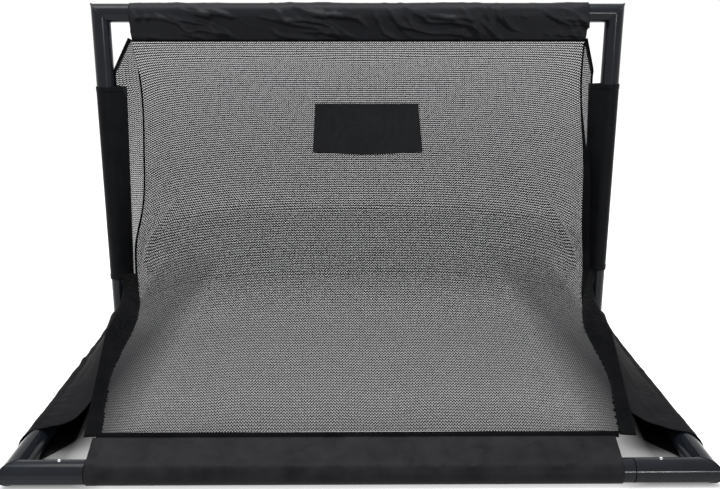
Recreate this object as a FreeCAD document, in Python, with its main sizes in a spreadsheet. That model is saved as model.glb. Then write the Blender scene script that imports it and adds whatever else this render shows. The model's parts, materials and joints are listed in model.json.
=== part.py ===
# Golf practice net: a low frame of steel tube that stands on the floor, pulled together with six
# snap buttons, and a slack knitted net sewn between cloth sleeves that slide onto the tubes.
#
# Millimetres. +X runs to the right along the front bar, +Y to the back, +Z up, and the origin is
# at the bottom centre. The front bar lies at -Y, the two posts stand at +Y and carry the top bar.
import FreeCAD, Part
import math
import os

from FreeCAD import Placement, Rotation, Vector

os.makedirs("parts", exist_ok=True)
doc = FreeCAD.newDocument("golf_practice_net")

# ---------------------------------------------------------------------------------------------
# Driving dimensions
# ---------------------------------------------------------------------------------------------
SIZES = {
    # Frame, measured over the outside of the tubes
    "frame_width": 1100,
    "frame_depth": 704,
    "frame_height": 714,
    "tube_diameter": 38,
    "tube_wall": 1.2,
    # Joints: the narrowed end of one tube pushes into the stub of the next
    "corner_stub": 108,
    "rear_stub": 130,
    "plug_length": 60,
    "plug_clearance": 0.3,
    "shoulder_length": 3,
    # Snap buttons and their bent spring clips
    "button_setback": 37,
    "button_diameter": 6.5,
    "button_clearance": 0.3,
    "button_proud": 3.5,
    "button_head_diameter": 9,
    "button_head_height": 1.2,
    "clip_width": 8,
    "clip_thickness": 0.8,
    "clip_leg": 25,
    "clip_tail": 7,
    # Cloth sleeves
    "cloth": 1.0,
    "cloth_gap": 0.3,
    "floor_flat": 0.5,
    "seam_thickness": 2.6,
    "seam_allowance": 10,
    "post_seam_allowance": 5,
    "pocket_gap": 0.3,
    "top_sleeve_left_inset": 61,
    "top_sleeve_right_inset": 57,
    "top_flap_reach": 60,
    "front_sleeve_left_inset": 108,
    "front_sleeve_right_inset": 131,
    "front_flap_reach": 54.6,
    "front_flap_angle": 43,
    "post_flap_reach_top": 44,
    "post_flap_reach_bottom": 31,
    "left_post_sleeve_foot": 105,
    "left_post_sleeve_drop": 149,
    "right_post_sleeve_foot": 124,
    "right_post_sleeve_drop": 144,
    # Loose sleeves on the floor rails: their inner edge, their heel on the floor, their slack
    "edge_rise": 78,
    "edge_rear_inset": 32,
    "edge_break_inset": 45,
    "edge_front_inset": 101,
    "heel_rear_inset": 26,
    "heel_front_inset": 61,
    "sleeve_slack_out": 13,
    "sleeve_slack_up": 48,
    "sewn_lap": 8,
    "sleeve_rear_gap": 3,
    "left_mouth_outer": 72,
    "left_mouth_inner": 135,
    "right_mouth_outer": 113,
    "right_mouth_inner": 82,
    # Net and the strips sewn round it
    "seam_strip": 4.5,
    "net_inset": 60,
    "fold_depth": 9,
    "net_thickness": 3,
    "strip_thickness": 2.4,
    "sewn_gap": 0.5,
    "patch_width": 222,
    "patch_height": 102,
    "patch_centre_x": 18,
    "patch_drop": 126,
    "patch_thickness": 0.6,
    "corner_strip_height": 26,
    "corner_strip_outer_inset": 23,
    "corner_strip_foot_inset": 34,
    "bore_gap": 0.1,
}

sheet = doc.addObject("Spreadsheet::Sheet", "Sizes")
for row, (alias, number) in enumerate(SIZES.items(), start=1):
    sheet.set(f"A{row}", alias)
    sheet.set(f"B{row}", str(number))
    sheet.setAlias(f"B{row}", alias)
doc.recompute()


def cell(alias):
    """The value of one cell of the sheet."""
    return float(getattr(sheet, alias))


# Lines of the frame, as expressions on the sheet
TUBE_RADIUS = "Sizes.tube_diameter / 2"
BORE_RADIUS = "Sizes.tube_diameter / 2 - Sizes.tube_wall"
PLUG_RADIUS = f"{BORE_RADIUS} - Sizes.plug_clearance"
PLUG_BORE_RADIUS = f"{PLUG_RADIUS} - Sizes.tube_wall"
SIDE_X = "(Sizes.frame_width - Sizes.tube_diameter) / 2"
# The rear buttons stand out further than the front sleeve, so the axes sit forward of the middle.
SHIFT_Y = "(Sizes.button_proud - Sizes.cloth - Sizes.cloth_gap) / 2"
REAR_Y = f"(Sizes.frame_depth - Sizes.tube_diameter) / 2 - {SHIFT_Y}"
FRONT_Y = f"-(Sizes.frame_depth - Sizes.tube_diameter) / 2 - {SHIFT_Y}"
LOW_Z = f"{TUBE_RADIUS} + Sizes.cloth_gap + Sizes.cloth - Sizes.floor_flat"
TOP_Z = f"{LOW_Z} + Sizes.frame_height - Sizes.tube_diameter"


def value(expression):
    """An expression on the sheet, worked out as a plain number."""
    return float(sheet.evalExpression(expression))


SIDE = value(SIDE_X)
REAR = value(REAR_Y)
FRONT = value(FRONT_Y)
LOW = value(LOW_Z)
TOP = value(TOP_Z)
SLEEVE_INNER = value(TUBE_RADIUS) + cell("cloth_gap")
SLEEVE_OUTER = SLEEVE_INNER + cell("cloth")

parts = {}


def keep(name, obj):
    """Names the object that stands for one piece, and lists it for export."""
    obj.Label = name
    parts[name] = obj
    return obj


def place(obj, x, y, z, rotation=Rotation()):
    """Puts an object at three expressions, turned by a rotation."""
    obj.Placement = Placement(Vector(0, 0, 0), rotation)
    obj.setExpression("Placement.Base.x", x)
    obj.setExpression("Placement.Base.y", y)
    obj.setExpression("Placement.Base.z", z)
    return obj


def along(axis):
    """The rotation that turns a cylinder from +Z onto an axis."""
    return Rotation(Vector(0, 0, 1), Vector(*axis))


def cylinder(name, radius, height, x, y, z, axis=(0, 0, 1)):
    obj = doc.addObject("Part::Cylinder", name)
    obj.setExpression("Radius", radius)
    obj.setExpression("Height", height)
    return place(obj, x, y, z, along(axis))


def fuse(name, *shapes):
    obj = doc.addObject("Part::MultiFuse", name)
    obj.Shapes = list(shapes)
    return obj


def cut(name, base, tool):
    obj = doc.addObject("Part::Cut", name)
    obj.Base = base
    obj.Tool = tool
    return obj


def feature(name, shape):
    """A plain feature that holds a shape worked out in this file."""
    obj = doc.addObject("Part::Feature", name)
    obj.Shape = shape
    return obj


# ---------------------------------------------------------------------------------------------
# Frame tubes
# ---------------------------------------------------------------------------------------------
def bent_run(name, radius, corners):
    """A round run through right-angled corners, mitred sharp at each of them."""
    spine = feature(f"{name}_spine", Part.makePolygon(corners))
    ring = doc.addObject("Part::Circle", f"{name}_ring")
    ring.setExpression("Radius", radius)
    ring.Placement = Placement(corners[0], Rotation(Vector(0, 0, 1), corners[1] - corners[0]))
    sweep = doc.addObject("Part::Sweep", name)
    sweep.Sections = [ring]
    sweep.Spine = (spine, [f"Edge{number}" for number in range(1, len(corners))])
    sweep.Solid = True
    sweep.Transition = "Right corner"
    return sweep


def plug(name, seam, outward):
    """The narrowed end of a tube, and its bore: both start inside the tube, behind the seam."""
    x, y, z = seam
    back = "Sizes.shoulder_length"
    start = tuple(f"{place_of} - ({back}) * {step}" for place_of, step in zip((x, y, z), outward))
    reach = f"Sizes.plug_length + {back}"
    solid = cylinder(f"{name}_plug", PLUG_RADIUS, reach, *start, axis=outward)
    bore = cylinder(f"{name}_plug_bore", PLUG_BORE_RADIUS, reach, *start, axis=outward)
    return solid, bore


def button_hole(name, at, outward):
    """The drill for one snap button: it goes through the stub and the plug at once."""
    radius = "Sizes.button_diameter / 2 + Sizes.button_clearance"
    return cylinder(f"{name}_drill", radius, "Sizes.tube_diameter", *at, axis=outward)


def joint_at(seam, into, out):
    """One joint: the seam where the tubes meet, the way the plug points, and the button's way out."""
    button = tuple(f"{place_of} + Sizes.button_setback * {step}" for place_of, step in zip(seam, into))
    return {"seam": seam, "into": into, "out": out, "button": button}


JOINTS = {}
for side, side_x, way in (("left", f"-({SIDE_X})", -1), ("right", SIDE_X, 1)):
    stub_end_x = f"{side_x} - {way} * Sizes.corner_stub"
    rear_seam_z = f"{LOW_Z} + Sizes.rear_stub"
    JOINTS[f"front_{side}"] = joint_at((stub_end_x, FRONT_Y, LOW_Z), (way, 0, 0), (0, 0, 1))
    JOINTS[f"top_{side}"] = joint_at((stub_end_x, REAR_Y, TOP_Z), (way, 0, 0), (0, 0, -1))
    JOINTS[f"rear_{side}"] = joint_at((side_x, REAR_Y, rear_seam_z), (0, 0, -1), (0, 1, 0))


def straight_bar(name, left_joint, right_joint):
    """A straight tube with a narrowed, drilled plug at each end."""
    left = JOINTS[left_joint]
    right = JOINTS[right_joint]
    length = f"2 * ({SIDE_X} - Sizes.corner_stub)"
    x, y, z = left["seam"]
    tube = cylinder(f"{name}_tube", TUBE_RADIUS, length, x, y, z, axis=(1, 0, 0))
    bore_start = f"{x} + Sizes.shoulder_length"
    bore_length = f"{length} - 2 * Sizes.shoulder_length"
    bore = cylinder(f"{name}_bore", BORE_RADIUS, bore_length, bore_start, y, z, axis=(1, 0, 0))
    solids = [tube]
    hollows = [bore]
    for joint_name, joint in ((left_joint, left), (right_joint, right)):
        solid, plug_bore = plug(joint_name, joint["seam"], joint["into"])
        solids.append(solid)
        hollows.append(plug_bore)
        hollows.append(button_hole(f"{joint_name}_inner", joint["button"], joint["out"]))
    keep(name, cut(f"{name}_part", fuse(f"{name}_solid", *solids), fuse(f"{name}_hollow", *hollows)))


straight_bar("front_bar", "front_left", "front_right")
straight_bar("top_bar", "top_left", "top_right")


def corner_post(side, sign):
    """A post with a mitred stub at its top and a narrowed, drilled plug at its foot."""
    name = f"{side}_post"
    top_joint = JOINTS[f"top_{side}"]
    foot_joint = JOINTS[f"rear_{side}"]
    seam_z = LOW + cell("rear_stub")
    stub_end = sign * (SIDE - cell("corner_stub"))
    shoulder = cell("shoulder_length")
    corner = Vector(sign * SIDE, REAR, TOP)
    tip = Vector(stub_end, REAR, TOP)
    outer = bent_run(f"{name}_outer", TUBE_RADIUS, [Vector(sign * SIDE, REAR, seam_z), corner, tip])
    bore = bent_run(
        f"{name}_bore", BORE_RADIUS, [Vector(sign * SIDE, REAR, seam_z + shoulder), corner, tip]
    )
    solid, plug_bore = plug(f"{name}_foot", foot_joint["seam"], foot_joint["into"])
    hollows = [
        bore,
        plug_bore,
        button_hole(f"{name}_top", top_joint["button"], top_joint["out"]),
        button_hole(f"{name}_foot", foot_joint["button"], foot_joint["out"]),
    ]
    keep(name, cut(f"{name}_part", fuse(f"{name}_solid", outer, solid), fuse(f"{name}_hollow", *hollows)))


def floor_rail(side, sign):
    """A floor rail: a stub for the front bar, the rail itself, and an upright stub for the post."""
    name = f"{side}_rail"
    corners = [
        Vector(sign * (SIDE - cell("corner_stub")), FRONT, LOW),
        Vector(sign * SIDE, FRONT, LOW),
        Vector(sign * SIDE, REAR, LOW),
        Vector(sign * SIDE, REAR, LOW + cell("rear_stub")),
    ]
    outer = bent_run(f"{name}_outer", TUBE_RADIUS, corners)
    hollows = [bent_run(f"{name}_bore", BORE_RADIUS, corners)]
    for end in ("front", "rear"):
        joint = JOINTS[f"{end}_{side}"]
        hollows.append(button_hole(f"{name}_{end}", joint["button"], joint["out"]))
    keep(name, cut(f"{name}_part", outer, fuse(f"{name}_hollow", *hollows)))


for side, sign in (("left", -1), ("right", 1)):
    corner_post(side, sign)
    floor_rail(side, sign)


# ---------------------------------------------------------------------------------------------
# Snap buttons and spring clips
# ---------------------------------------------------------------------------------------------
# The head bears on the plug's bore from inside, so it lies below the bore by the rise of that
# curve over the head's own radius.
head_radius = cell("button_head_diameter") / 2
plug_bore = value(PLUG_BORE_RADIUS)
HEAD_TOP = math.sqrt(plug_bore**2 - head_radius**2) - cell("bore_gap")
HEAD_BOTTOM = HEAD_TOP - cell("button_head_height")
clip_half = cell("clip_width") / 2
CLIP_BOTTOM = -math.sqrt(plug_bore**2 - clip_half**2) + cell("bore_gap")


def shifted(at, outward, distance):
    """Three expressions for a point a distance out from another."""
    return tuple(f"{place_of} + {distance} * {step}" for place_of, step in zip(at, outward))


def snap_button(name, joint):
    """A round pin with a domed top and a wider head inside the plug."""
    out = joint["out"]
    at = joint["button"]
    radius = "Sizes.button_diameter / 2"
    head = cylinder(
        f"{name}_head",
        "Sizes.button_head_diameter / 2",
        "Sizes.button_head_height",
        *shifted(at, out, HEAD_BOTTOM),
        axis=out,
    )
    dome_centre = f"({TUBE_RADIUS} + Sizes.button_proud - Sizes.button_diameter / 2)"
    shank = cylinder(
        f"{name}_shank", radius, f"{dome_centre} - {HEAD_BOTTOM}", *shifted(at, out, HEAD_BOTTOM), axis=out
    )
    dome = doc.addObject("Part::Sphere", f"{name}_dome")
    dome.setExpression("Radius", radius)
    place(dome, *shifted(at, out, dome_centre))
    keep(name, fuse(f"{name}_part", head, shank, dome))


def spring_clip(name, joint):
    """A strip bent into a U inside the plug: one leg lifts the button, the other backs it."""
    out = Vector(*joint["out"])
    into = Vector(*joint["into"])
    across = into.cross(out)
    centre = Vector(*(value(place_of) for place_of in joint["button"]))
    thickness = cell("clip_thickness")
    middle = (HEAD_BOTTOM + CLIP_BOTTOM) / 2
    outer = (HEAD_BOTTOM - CLIP_BOTTOM) / 2
    inner = outer - thickness
    bend = -cell("clip_leg") + outer
    tail = cell("clip_tail")

    def point(forward, height):
        return centre + into * forward + out * (middle + height) - across * (cell("clip_width") / 2)

    outline = Part.Wire(
        [
            Part.LineSegment(point(tail, outer), point(bend, outer)).toShape(),
            Part.Arc(point(bend, outer), point(bend - outer, 0), point(bend, -outer)).toShape(),
            Part.LineSegment(point(bend, -outer), point(tail, -outer)).toShape(),
            Part.LineSegment(point(tail, -outer), point(tail, -inner)).toShape(),
            Part.LineSegment(point(tail, -inner), point(bend, -inner)).toShape(),
            Part.Arc(point(bend, -inner), point(bend - inner, 0), point(bend, inner)).toShape(),
            Part.LineSegment(point(bend, inner), point(tail, inner)).toShape(),
            Part.LineSegment(point(tail, inner), point(tail, outer)).toShape(),
        ]
    )
    strip = doc.addObject("Part::Extrusion", f"{name}_part")
    strip.Base = feature(f"{name}_outline", Part.Face(outline))
    strip.DirMode = "Custom"
    strip.Dir = across
    strip.setExpression("LengthFwd", "Sizes.clip_width")
    strip.Solid = True
    keep(name, strip)


for joint_name, joint in JOINTS.items():
    snap_button(f"{joint_name}_button", joint)
    spring_clip(f"{joint_name}_clip", joint)


# ---------------------------------------------------------------------------------------------
# Cloth sleeves on the top bar, the front bar and the posts
# ---------------------------------------------------------------------------------------------
def teardrop(centre, reach_way, side_way, radius, reach, half_tip):
    """A closed outline: round the tube, then two straight layers that close on a narrow tip."""
    distance = math.hypot(reach, half_tip)
    turn = math.atan2(half_tip, reach) + math.acos(radius / distance)

    def point(forward, sideways):
        return centre + reach_way * forward + side_way * sideways

    touch = (radius * math.cos(turn), radius * math.sin(turn))
    upper = point(touch[0], touch[1])
    lower = point(touch[0], -touch[1])
    return Part.Wire(
        [
            Part.LineSegment(point(reach, half_tip), upper).toShape(),
            Part.Arc(upper, point(-radius, 0), lower).toShape(),
            Part.LineSegment(lower, point(reach, -half_tip)).toShape(),
            Part.LineSegment(point(reach, -half_tip), point(reach, half_tip)).toShape(),
        ]
    )


HALF_TIP = cell("seam_thickness") / 2
HALF_POCKET = cell("pocket_gap")


def sleeve_on_bar(name, centre, reach_way, reach, run):
    """A sleeve along X: one teardrop outline extruded, less the pocket for the tube."""
    side_way = Vector(1, 0, 0).cross(reach_way)
    pocket = reach - cell("seam_allowance")
    outside = teardrop(centre, reach_way, side_way, SLEEVE_OUTER, reach, HALF_TIP)
    inside = teardrop(centre, reach_way, side_way, SLEEVE_INNER, pocket, HALF_POCKET)
    strip = doc.addObject("Part::Extrusion", f"{name}_cloth")
    strip.Base = feature(f"{name}_outline", Part.makeFace([outside, inside], "Part::FaceMakerBullseye"))
    strip.DirMode = "Custom"
    strip.Dir = Vector(1, 0, 0)
    strip.setExpression("LengthFwd", run)
    strip.Solid = True
    return strip


TOP_SLEEVE_LEFT = SIDE - cell("top_sleeve_left_inset")
TOP_SLEEVE_RIGHT = SIDE - cell("top_sleeve_right_inset")
FRONT_SLEEVE_LEFT = SIDE - cell("front_sleeve_left_inset")
FRONT_SLEEVE_RIGHT = SIDE - cell("front_sleeve_right_inset")

top_reach_way = Vector(0, 0, -1)
keep(
    "top_sleeve",
    sleeve_on_bar(
        "top_sleeve",
        Vector(-TOP_SLEEVE_LEFT, REAR, TOP),
        top_reach_way,
        cell("top_flap_reach"),
        f"2 * {SIDE_X} - Sizes.top_sleeve_left_inset - Sizes.top_sleeve_right_inset",
    ),
)

flap_angle = math.radians(cell("front_flap_angle"))
front_reach_way = Vector(0, math.cos(flap_angle), math.sin(flap_angle))
front_cloth = sleeve_on_bar(
    "front_sleeve",
    Vector(-FRONT_SLEEVE_LEFT, FRONT, LOW),
    front_reach_way,
    cell("front_flap_reach"),
    f"2 * {SIDE_X} - Sizes.front_sleeve_left_inset - Sizes.front_sleeve_right_inset",
)


def floor_block(name):
    """A block below the floor, which cuts what rests on it flat."""
    block = doc.addObject("Part::Box", name)
    block.setExpression("Length", "2 * Sizes.frame_width")
    block.setExpression("Width", "2 * Sizes.frame_depth")
    block.setExpression("Height", "Sizes.tube_diameter")
    return place(block, "-Sizes.frame_width", "-Sizes.frame_depth", "-Sizes.tube_diameter")


keep("front_sleeve", cut("front_sleeve_part", front_cloth, floor_block("front_sleeve_floor")))


def loft(name, wires, ruled=True):
    obj = doc.addObject("Part::Loft", name)
    obj.Sections = [feature(f"{name}_section_{number}", wire) for number, wire in enumerate(wires)]
    obj.Solid = True
    obj.Ruled = ruled
    return obj


def post_sleeve_ends(side):
    """The heights of a post sleeve's foot and top."""
    return LOW + cell(f"{side}_post_sleeve_foot"), TOP - cell(f"{side}_post_sleeve_drop")


def post_sleeve(side, sign):
    """A sleeve round a post: its flap points to the middle and narrows towards the foot."""
    name = f"{side}_post_sleeve"
    bottom, top = post_sleeve_ends(side)
    inward = Vector(-sign, 0, 0)
    outsides = []
    insides = []
    for height, reach in ((bottom, cell("post_flap_reach_bottom")), (top, cell("post_flap_reach_top"))):
        centre = Vector(sign * SIDE, REAR, height)
        outsides.append(teardrop(centre, inward, Vector(0, 1, 0), SLEEVE_OUTER, reach, HALF_TIP))
        pocket = reach - cell("post_seam_allowance")
        insides.append(teardrop(centre, inward, Vector(0, 1, 0), SLEEVE_INNER, pocket, HALF_POCKET))
    keep(name, cut(f"{name}_part", loft(f"{name}_outside", outsides), loft(f"{name}_pocket", insides)))


# ---------------------------------------------------------------------------------------------
# Loose sleeves on the floor rails
# ---------------------------------------------------------------------------------------------
# Both ends of a rail sleeve are given as distances forward of the posts: it starts just ahead of
# the post, its inner edge bends at the break, and that edge ends at the front seam.
REAR_STATION = value(TUBE_RADIUS) + cell("sleeve_rear_gap")
FRONT_SEAM = Vector(0, FRONT, LOW) + front_reach_way * cell("front_flap_reach")
SEAM_FORWARD = REAR - FRONT_SEAM.y
EDGE_BREAK = 0.45 * SEAM_FORWARD


def share(number, start, end):
    """Where a number lies on the way from a start to an end, from 0 to 1."""
    return min(1.0, max(0.0, (number - start) / (end - start)))


def between(low, high, part):
    return low + (high - low) * part


def inner_edge(forward):
    """A point on the inner edge of a rail sleeve: two straight runs, falling to the front."""
    if forward < EDGE_BREAK:
        inset = between(cell("edge_rear_inset"), cell("edge_break_inset"), share(forward, 0, EDGE_BREAK))
    else:
        front_share = share(forward, EDGE_BREAK, SEAM_FORWARD)
        inset = between(cell("edge_break_inset"), cell("edge_front_inset"), front_share)
    height = FRONT_SEAM.z + cell("edge_rise") * (1 - share(forward, 0, SEAM_FORWARD))
    return Vector(SIDE - inset, REAR - forward, height)


def rail_section(sign, forward, inset):
    """One outline of a rail sleeve: up round the tube, over to the inner edge, and back on the floor.

    The rear of the sleeve is slack, so it stands out from the tube and rises against the post. An
    inset of nothing gives the outside, and the cloth's thickness gives the pocket.
    """
    slack = (1 - share(forward, REAR_STATION, EDGE_BREAK)) ** 2
    edge = inner_edge(forward)
    top_x = SIDE + cell("sleeve_slack_out") * slack
    outer_x = top_x + SLEEVE_OUTER - inset
    top_z = LOW + SLEEVE_OUTER + cell("sleeve_slack_up") * slack - inset
    bottom_z = inset - cell("floor_flat") if inset else 0
    lap = cell("sewn_lap") if inset else 0
    slope = (edge.z - top_z) / (edge.x - top_x)
    half_lip = HALF_POCKET if inset else HALF_TIP
    lip_x = edge.x + lap
    lip_z = edge.z + lap * slope
    heel_inset = between(cell("heel_rear_inset"), cell("heel_front_inset"), share(forward, 0, EDGE_BREAK))
    heel_x = SIDE - heel_inset + inset

    def point(x, z):
        return Vector(sign * x, REAR - forward, z)

    corners = [
        point(top_x, top_z),
        point(lip_x, lip_z + half_lip),
        point(lip_x, lip_z - half_lip),
        point(heel_x, inset),
        point(top_x, bottom_z),
    ]
    edges = [Part.LineSegment(start, end).toShape() for start, end in zip(corners, corners[1:])]
    middle = point(outer_x, between(bottom_z, top_z, 0.5))
    edges.append(Part.Arc(corners[-1], middle, corners[0]).toShape())
    return Part.Wire(edges)


STATIONS = [REAR_STATION] + [part * SEAM_FORWARD for part in (0.18, 0.32, 0.45, 0.68, 0.96)]


def mouth_block(side, sign):
    """A block ahead of the slanting line where the front mouth is cut."""
    outer = FRONT + cell(f"{side}_mouth_outer")
    inner = FRONT + cell(f"{side}_mouth_inner")
    slant = (inner - outer) / cell("edge_front_inset")
    reach = cell("tube_diameter") * 2
    inner_x = SIDE - cell("edge_front_inset") - reach
    far = Vector(sign * (SIDE + reach), outer - slant * reach, -reach)
    near = Vector(sign * inner_x, inner + slant * reach, -reach)
    ahead = Vector(0, FRONT, 0)
    outline = Part.Face(Part.makePolygon([far, near, near + ahead, far + ahead, far]))
    block = doc.addObject("Part::Extrusion", f"{side}_mouth_block")
    block.Base = feature(f"{side}_mouth_outline", outline)
    block.DirMode = "Custom"
    block.Dir = Vector(0, 0, 1)
    block.LengthFwd = 3 * reach
    block.Solid = True
    return block


def rail_sleeve(side, sign):
    """A wide, slack sleeve: hollow, open at both ends, lying on the floor beside its rail."""
    name = f"{side}_rail_sleeve"
    cloth = cell("cloth")
    outside = loft(f"{name}_outside", [rail_section(sign, station, 0) for station in STATIONS])
    pocket = loft(f"{name}_pocket", [rail_section(sign, station, cloth) for station in STATIONS])
    closed = cut(f"{name}_hollow", outside, pocket)
    keep(name, cut(f"{name}_part", closed, mouth_block(side, sign)))


for side, sign in (("left", -1), ("right", 1)):
    post_sleeve(side, sign)
    rail_sleeve(side, sign)


# ---------------------------------------------------------------------------------------------
# The net
# ---------------------------------------------------------------------------------------------
# Both edges and the middle line run from the top seam (0) to the front seam (1). The middle hangs
# in a slack curve. Each side goes down beside the post, turns, and follows the rail's sleeve.
# The net's ends stop short of the sleeves' flaps, where the seam strips join them.
NET_TOP = Vector(0, REAR, TOP - cell("top_flap_reach") - cell("seam_strip"))
NET_FRONT = FRONT_SEAM + Vector(0, cell("seam_strip"), 0)
THICK_WAY = Vector(0, -1, 1).normalize()


def net_place(out, forward_share, height_share):
    """A place given as its distance out and its shares of the net's depth and height."""
    y = between(NET_TOP.y, NET_FRONT.y, forward_share)
    return Vector(out, y, between(NET_FRONT.z, NET_TOP.z, height_share))


middle_line = Part.BezierCurve()
middle_line.setPoles([NET_TOP, net_place(0, 0, 0.354), net_place(0, 0.322, 0.153), NET_FRONT])

# The side line's places from the top: the inset from the posts' line, in net insets, then the
# shares of depth and height. The seam runs down the gusset, turns outwards above the post's foot,
# and then follows the rail sleeve to the front.
SIDE_PLACES = (
    (0.98, 0.0, 1.0),
    (1.18, 0.016, 0.893),
    (1.27, 0.032, 0.789),
    (1.27, 0.055, 0.597),
    (1.17, 0.072, 0.388),
    (0.93, 0.072, 0.275),
    (0.78, 0.072, 0.197),
    (0.95, 0.121, 0.131),
    (1.30, 0.253, 0.092),
    (1.45, 0.400, 0.070),
    (1.46, 0.670, 0.036),
    (1.72, 0.845, 0.014),
    (1.90, 0.930, 0.005),
    (2.03, 1.0, 0.0),
)
side_line = Part.BSplineCurve()
side_line.interpolate(
    [net_place(SIDE - cell("net_inset") * insets, forward, up) for insets, forward, up in SIDE_PLACES]
)


def along_line(curve, part):
    """A point at a share of a curve's length."""
    length = curve.length()
    return curve.value(curve.parameterAtDistance(length * part, curve.FirstParameter))


FOLD_WIDTH = 0.07


def net_point(across, down):
    """A point of the net: across runs from -1 to 1 over the width, down from 0 to 1 to the front.

    Over most of the width the net follows its middle line, and it draws off to its side line with
    the cube of the distance from the middle. One slanting fold runs to each lower rear corner.
    """
    middle = along_line(middle_line, down)
    edge = along_line(side_line, down)
    pull = abs(across) ** 3
    fold_place = 0.93 - 1.1 * abs(down - 0.46)
    fold = math.exp(-(((abs(across) - fold_place) / FOLD_WIDTH) ** 2))
    fade = math.sin(math.pi * share(down, 0.26, 0.66)) ** 2 * (1 - abs(across) ** 8)
    lift = THICK_WAY * (cell("fold_depth") * fold * fade)
    y = between(middle.y, edge.y, pull)
    z = between(middle.z, edge.z, pull)
    return Vector(edge.x * across, y, z) + lift


COLUMNS = 24
ROWS = 22
net_surface = Part.BSplineSurface()
net_surface.interpolate(
    [
        [net_point(2 * column / COLUMNS - 1, row / ROWS) for row in range(ROWS + 1)]
        for column in range(COLUMNS + 1)
    ]
)


def thicken(name, face, thickness, way=THICK_WAY):
    """A sheet given its thickness along one slanting direction."""
    sheet_solid = doc.addObject("Part::Extrusion", f"{name}_part")
    sheet_solid.Base = feature(f"{name}_face", face)
    sheet_solid.DirMode = "Custom"
    sheet_solid.Dir = way
    sheet_solid.setExpression("LengthFwd", thickness)
    sheet_solid.Solid = True
    keep(name, sheet_solid)


# The knit is much finer than a solid can carry, so a plain grid of gaps stands for it. Each gap
# is drilled along the net's thickness, and takes the same share of its part of the net.
GAPS_ACROSS = 12
GAPS_DOWN = 12
GAP_SHARE = 0.6
NET_MARGIN = 0.02


def net_gap(column, row):
    """The drill for one gap: four points of the net, brought into one plane square to the net's
    thickness, and extruded far enough to pass the whole net."""
    half = GAP_SHARE / 2
    reach = cell("frame_depth")
    corners = []
    for side_step, down_step in ((-half, -half), (half, -half), (half, half), (-half, half)):
        across = between(NET_MARGIN - 1, 1 - NET_MARGIN, (column + 0.5 + side_step) / GAPS_ACROSS)
        down = between(NET_MARGIN, 1 - NET_MARGIN, (row + 0.5 + down_step) / GAPS_DOWN)
        point = net_point(across, down)
        corners.append(point - THICK_WAY * (point.dot(THICK_WAY) + reach))
    outline = Part.Face(Part.makePolygon(corners + corners[:1]))
    return outline.extrude(THICK_WAY * (2 * reach))


net_gaps = [net_gap(column, row) for column in range(GAPS_ACROSS) for row in range(GAPS_DOWN)]
thicken("net_panel", net_surface.toShape().cut(net_gaps), "Sizes.net_thickness")


# The target is a plain cloth sewn to the front of the net, high in its middle. It takes its shape
# from the same surface, stood off by the net's thickness and a stitch.
across_low, across_high, down_low, down_high = net_surface.bounds()
net_length = middle_line.length()
drop = cell("patch_drop")
half_width_there = along_line(side_line, drop / net_length).x


def across_at(x):
    """The surface's own parameter at a distance to the right of the middle."""
    return between(across_low, across_high, (x / half_width_there + 1) / 2)


def down_at(length):
    """The surface's own parameter at a length down the middle line."""
    return between(down_low, down_high, length / net_length)


patch_face = net_surface.toShape(
    across_at(cell("patch_centre_x") - cell("patch_width") / 2),
    across_at(cell("patch_centre_x") + cell("patch_width") / 2),
    down_at(drop),
    down_at(drop + cell("patch_height")),
)
patch_face.translate(THICK_WAY * (cell("net_thickness") + cell("sewn_gap")))
thicken("target_patch", patch_face, "Sizes.patch_thickness")


# ---------------------------------------------------------------------------------------------
# Strips sewn round the net
# ---------------------------------------------------------------------------------------------
def prism_along_x(name, corners, start, run):
    """A strip of one cross-section in the YZ plane, from a start along X."""
    ring = [Vector(start, y, z) for y, z in corners]
    outline = Part.Face(Part.makePolygon(ring + ring[:1]))
    strip = doc.addObject("Part::Extrusion", f"{name}_part")
    strip.Base = feature(f"{name}_outline", outline)
    strip.DirMode = "Custom"
    strip.Dir = Vector(1, 0, 0)
    strip.LengthFwd = run
    strip.Solid = True
    keep(name, strip)


gap = cell("sewn_gap")
thick = THICK_WAY * cell("net_thickness")
tip_side = Vector(1, 0, 0).cross(front_reach_way) * HALF_TIP
TOP_SEAM_HALF = TOP_SLEEVE_LEFT - cell("seam_thickness")
front_seam_left = along_line(side_line, 1).x - 2 * gap

prism_along_x(
    "top_seam",
    [
        (REAR - HALF_TIP, TOP - cell("top_flap_reach")),
        (REAR + HALF_TIP, TOP - cell("top_flap_reach")),
        (NET_TOP.y + gap, NET_TOP.z + gap),
        (NET_TOP.y + thick.y, NET_TOP.z + thick.z + gap),
    ],
    -TOP_SEAM_HALF,
    2 * TOP_SEAM_HALF,
)
prism_along_x(
    "front_seam",
    [
        ((FRONT_SEAM - tip_side).y, (FRONT_SEAM - tip_side).z),
        ((FRONT_SEAM + tip_side).y, (FRONT_SEAM + tip_side).z),
        (NET_FRONT.y + thick.y - gap, NET_FRONT.z + thick.z),
        (NET_FRONT.y - gap, NET_FRONT.z),
    ],
    -front_seam_left,
    front_seam_left + FRONT_SLEEVE_RIGHT,
)


def smooth(points):
    curve = Part.BSplineCurve()
    curve.interpolate(points)
    return curve.toShape()


def ruled_strip(name, inner_points, outer_points):
    """A sheet between two lines, given the strips' thickness."""
    face = Part.makeRuledSurface(smooth(inner_points), smooth(outer_points))
    thicken(name, face, "Sizes.strip_thickness")


# The share of the side line's length where the gusset ends and the rail binding starts, and the
# share that each stays short of its neighbours.
CORNER_SHARE = 0.47
END_SHARE = 0.012
GUSSET_STEPS = 12
BINDING_STEPS = 16
# The binding's outer edge lags behind its inner one, so that it fans out at the rear.
BINDING_LAG = 1.15


def mirrored(point, sign):
    return Vector(sign * point.x, point.y, point.z)


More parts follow.
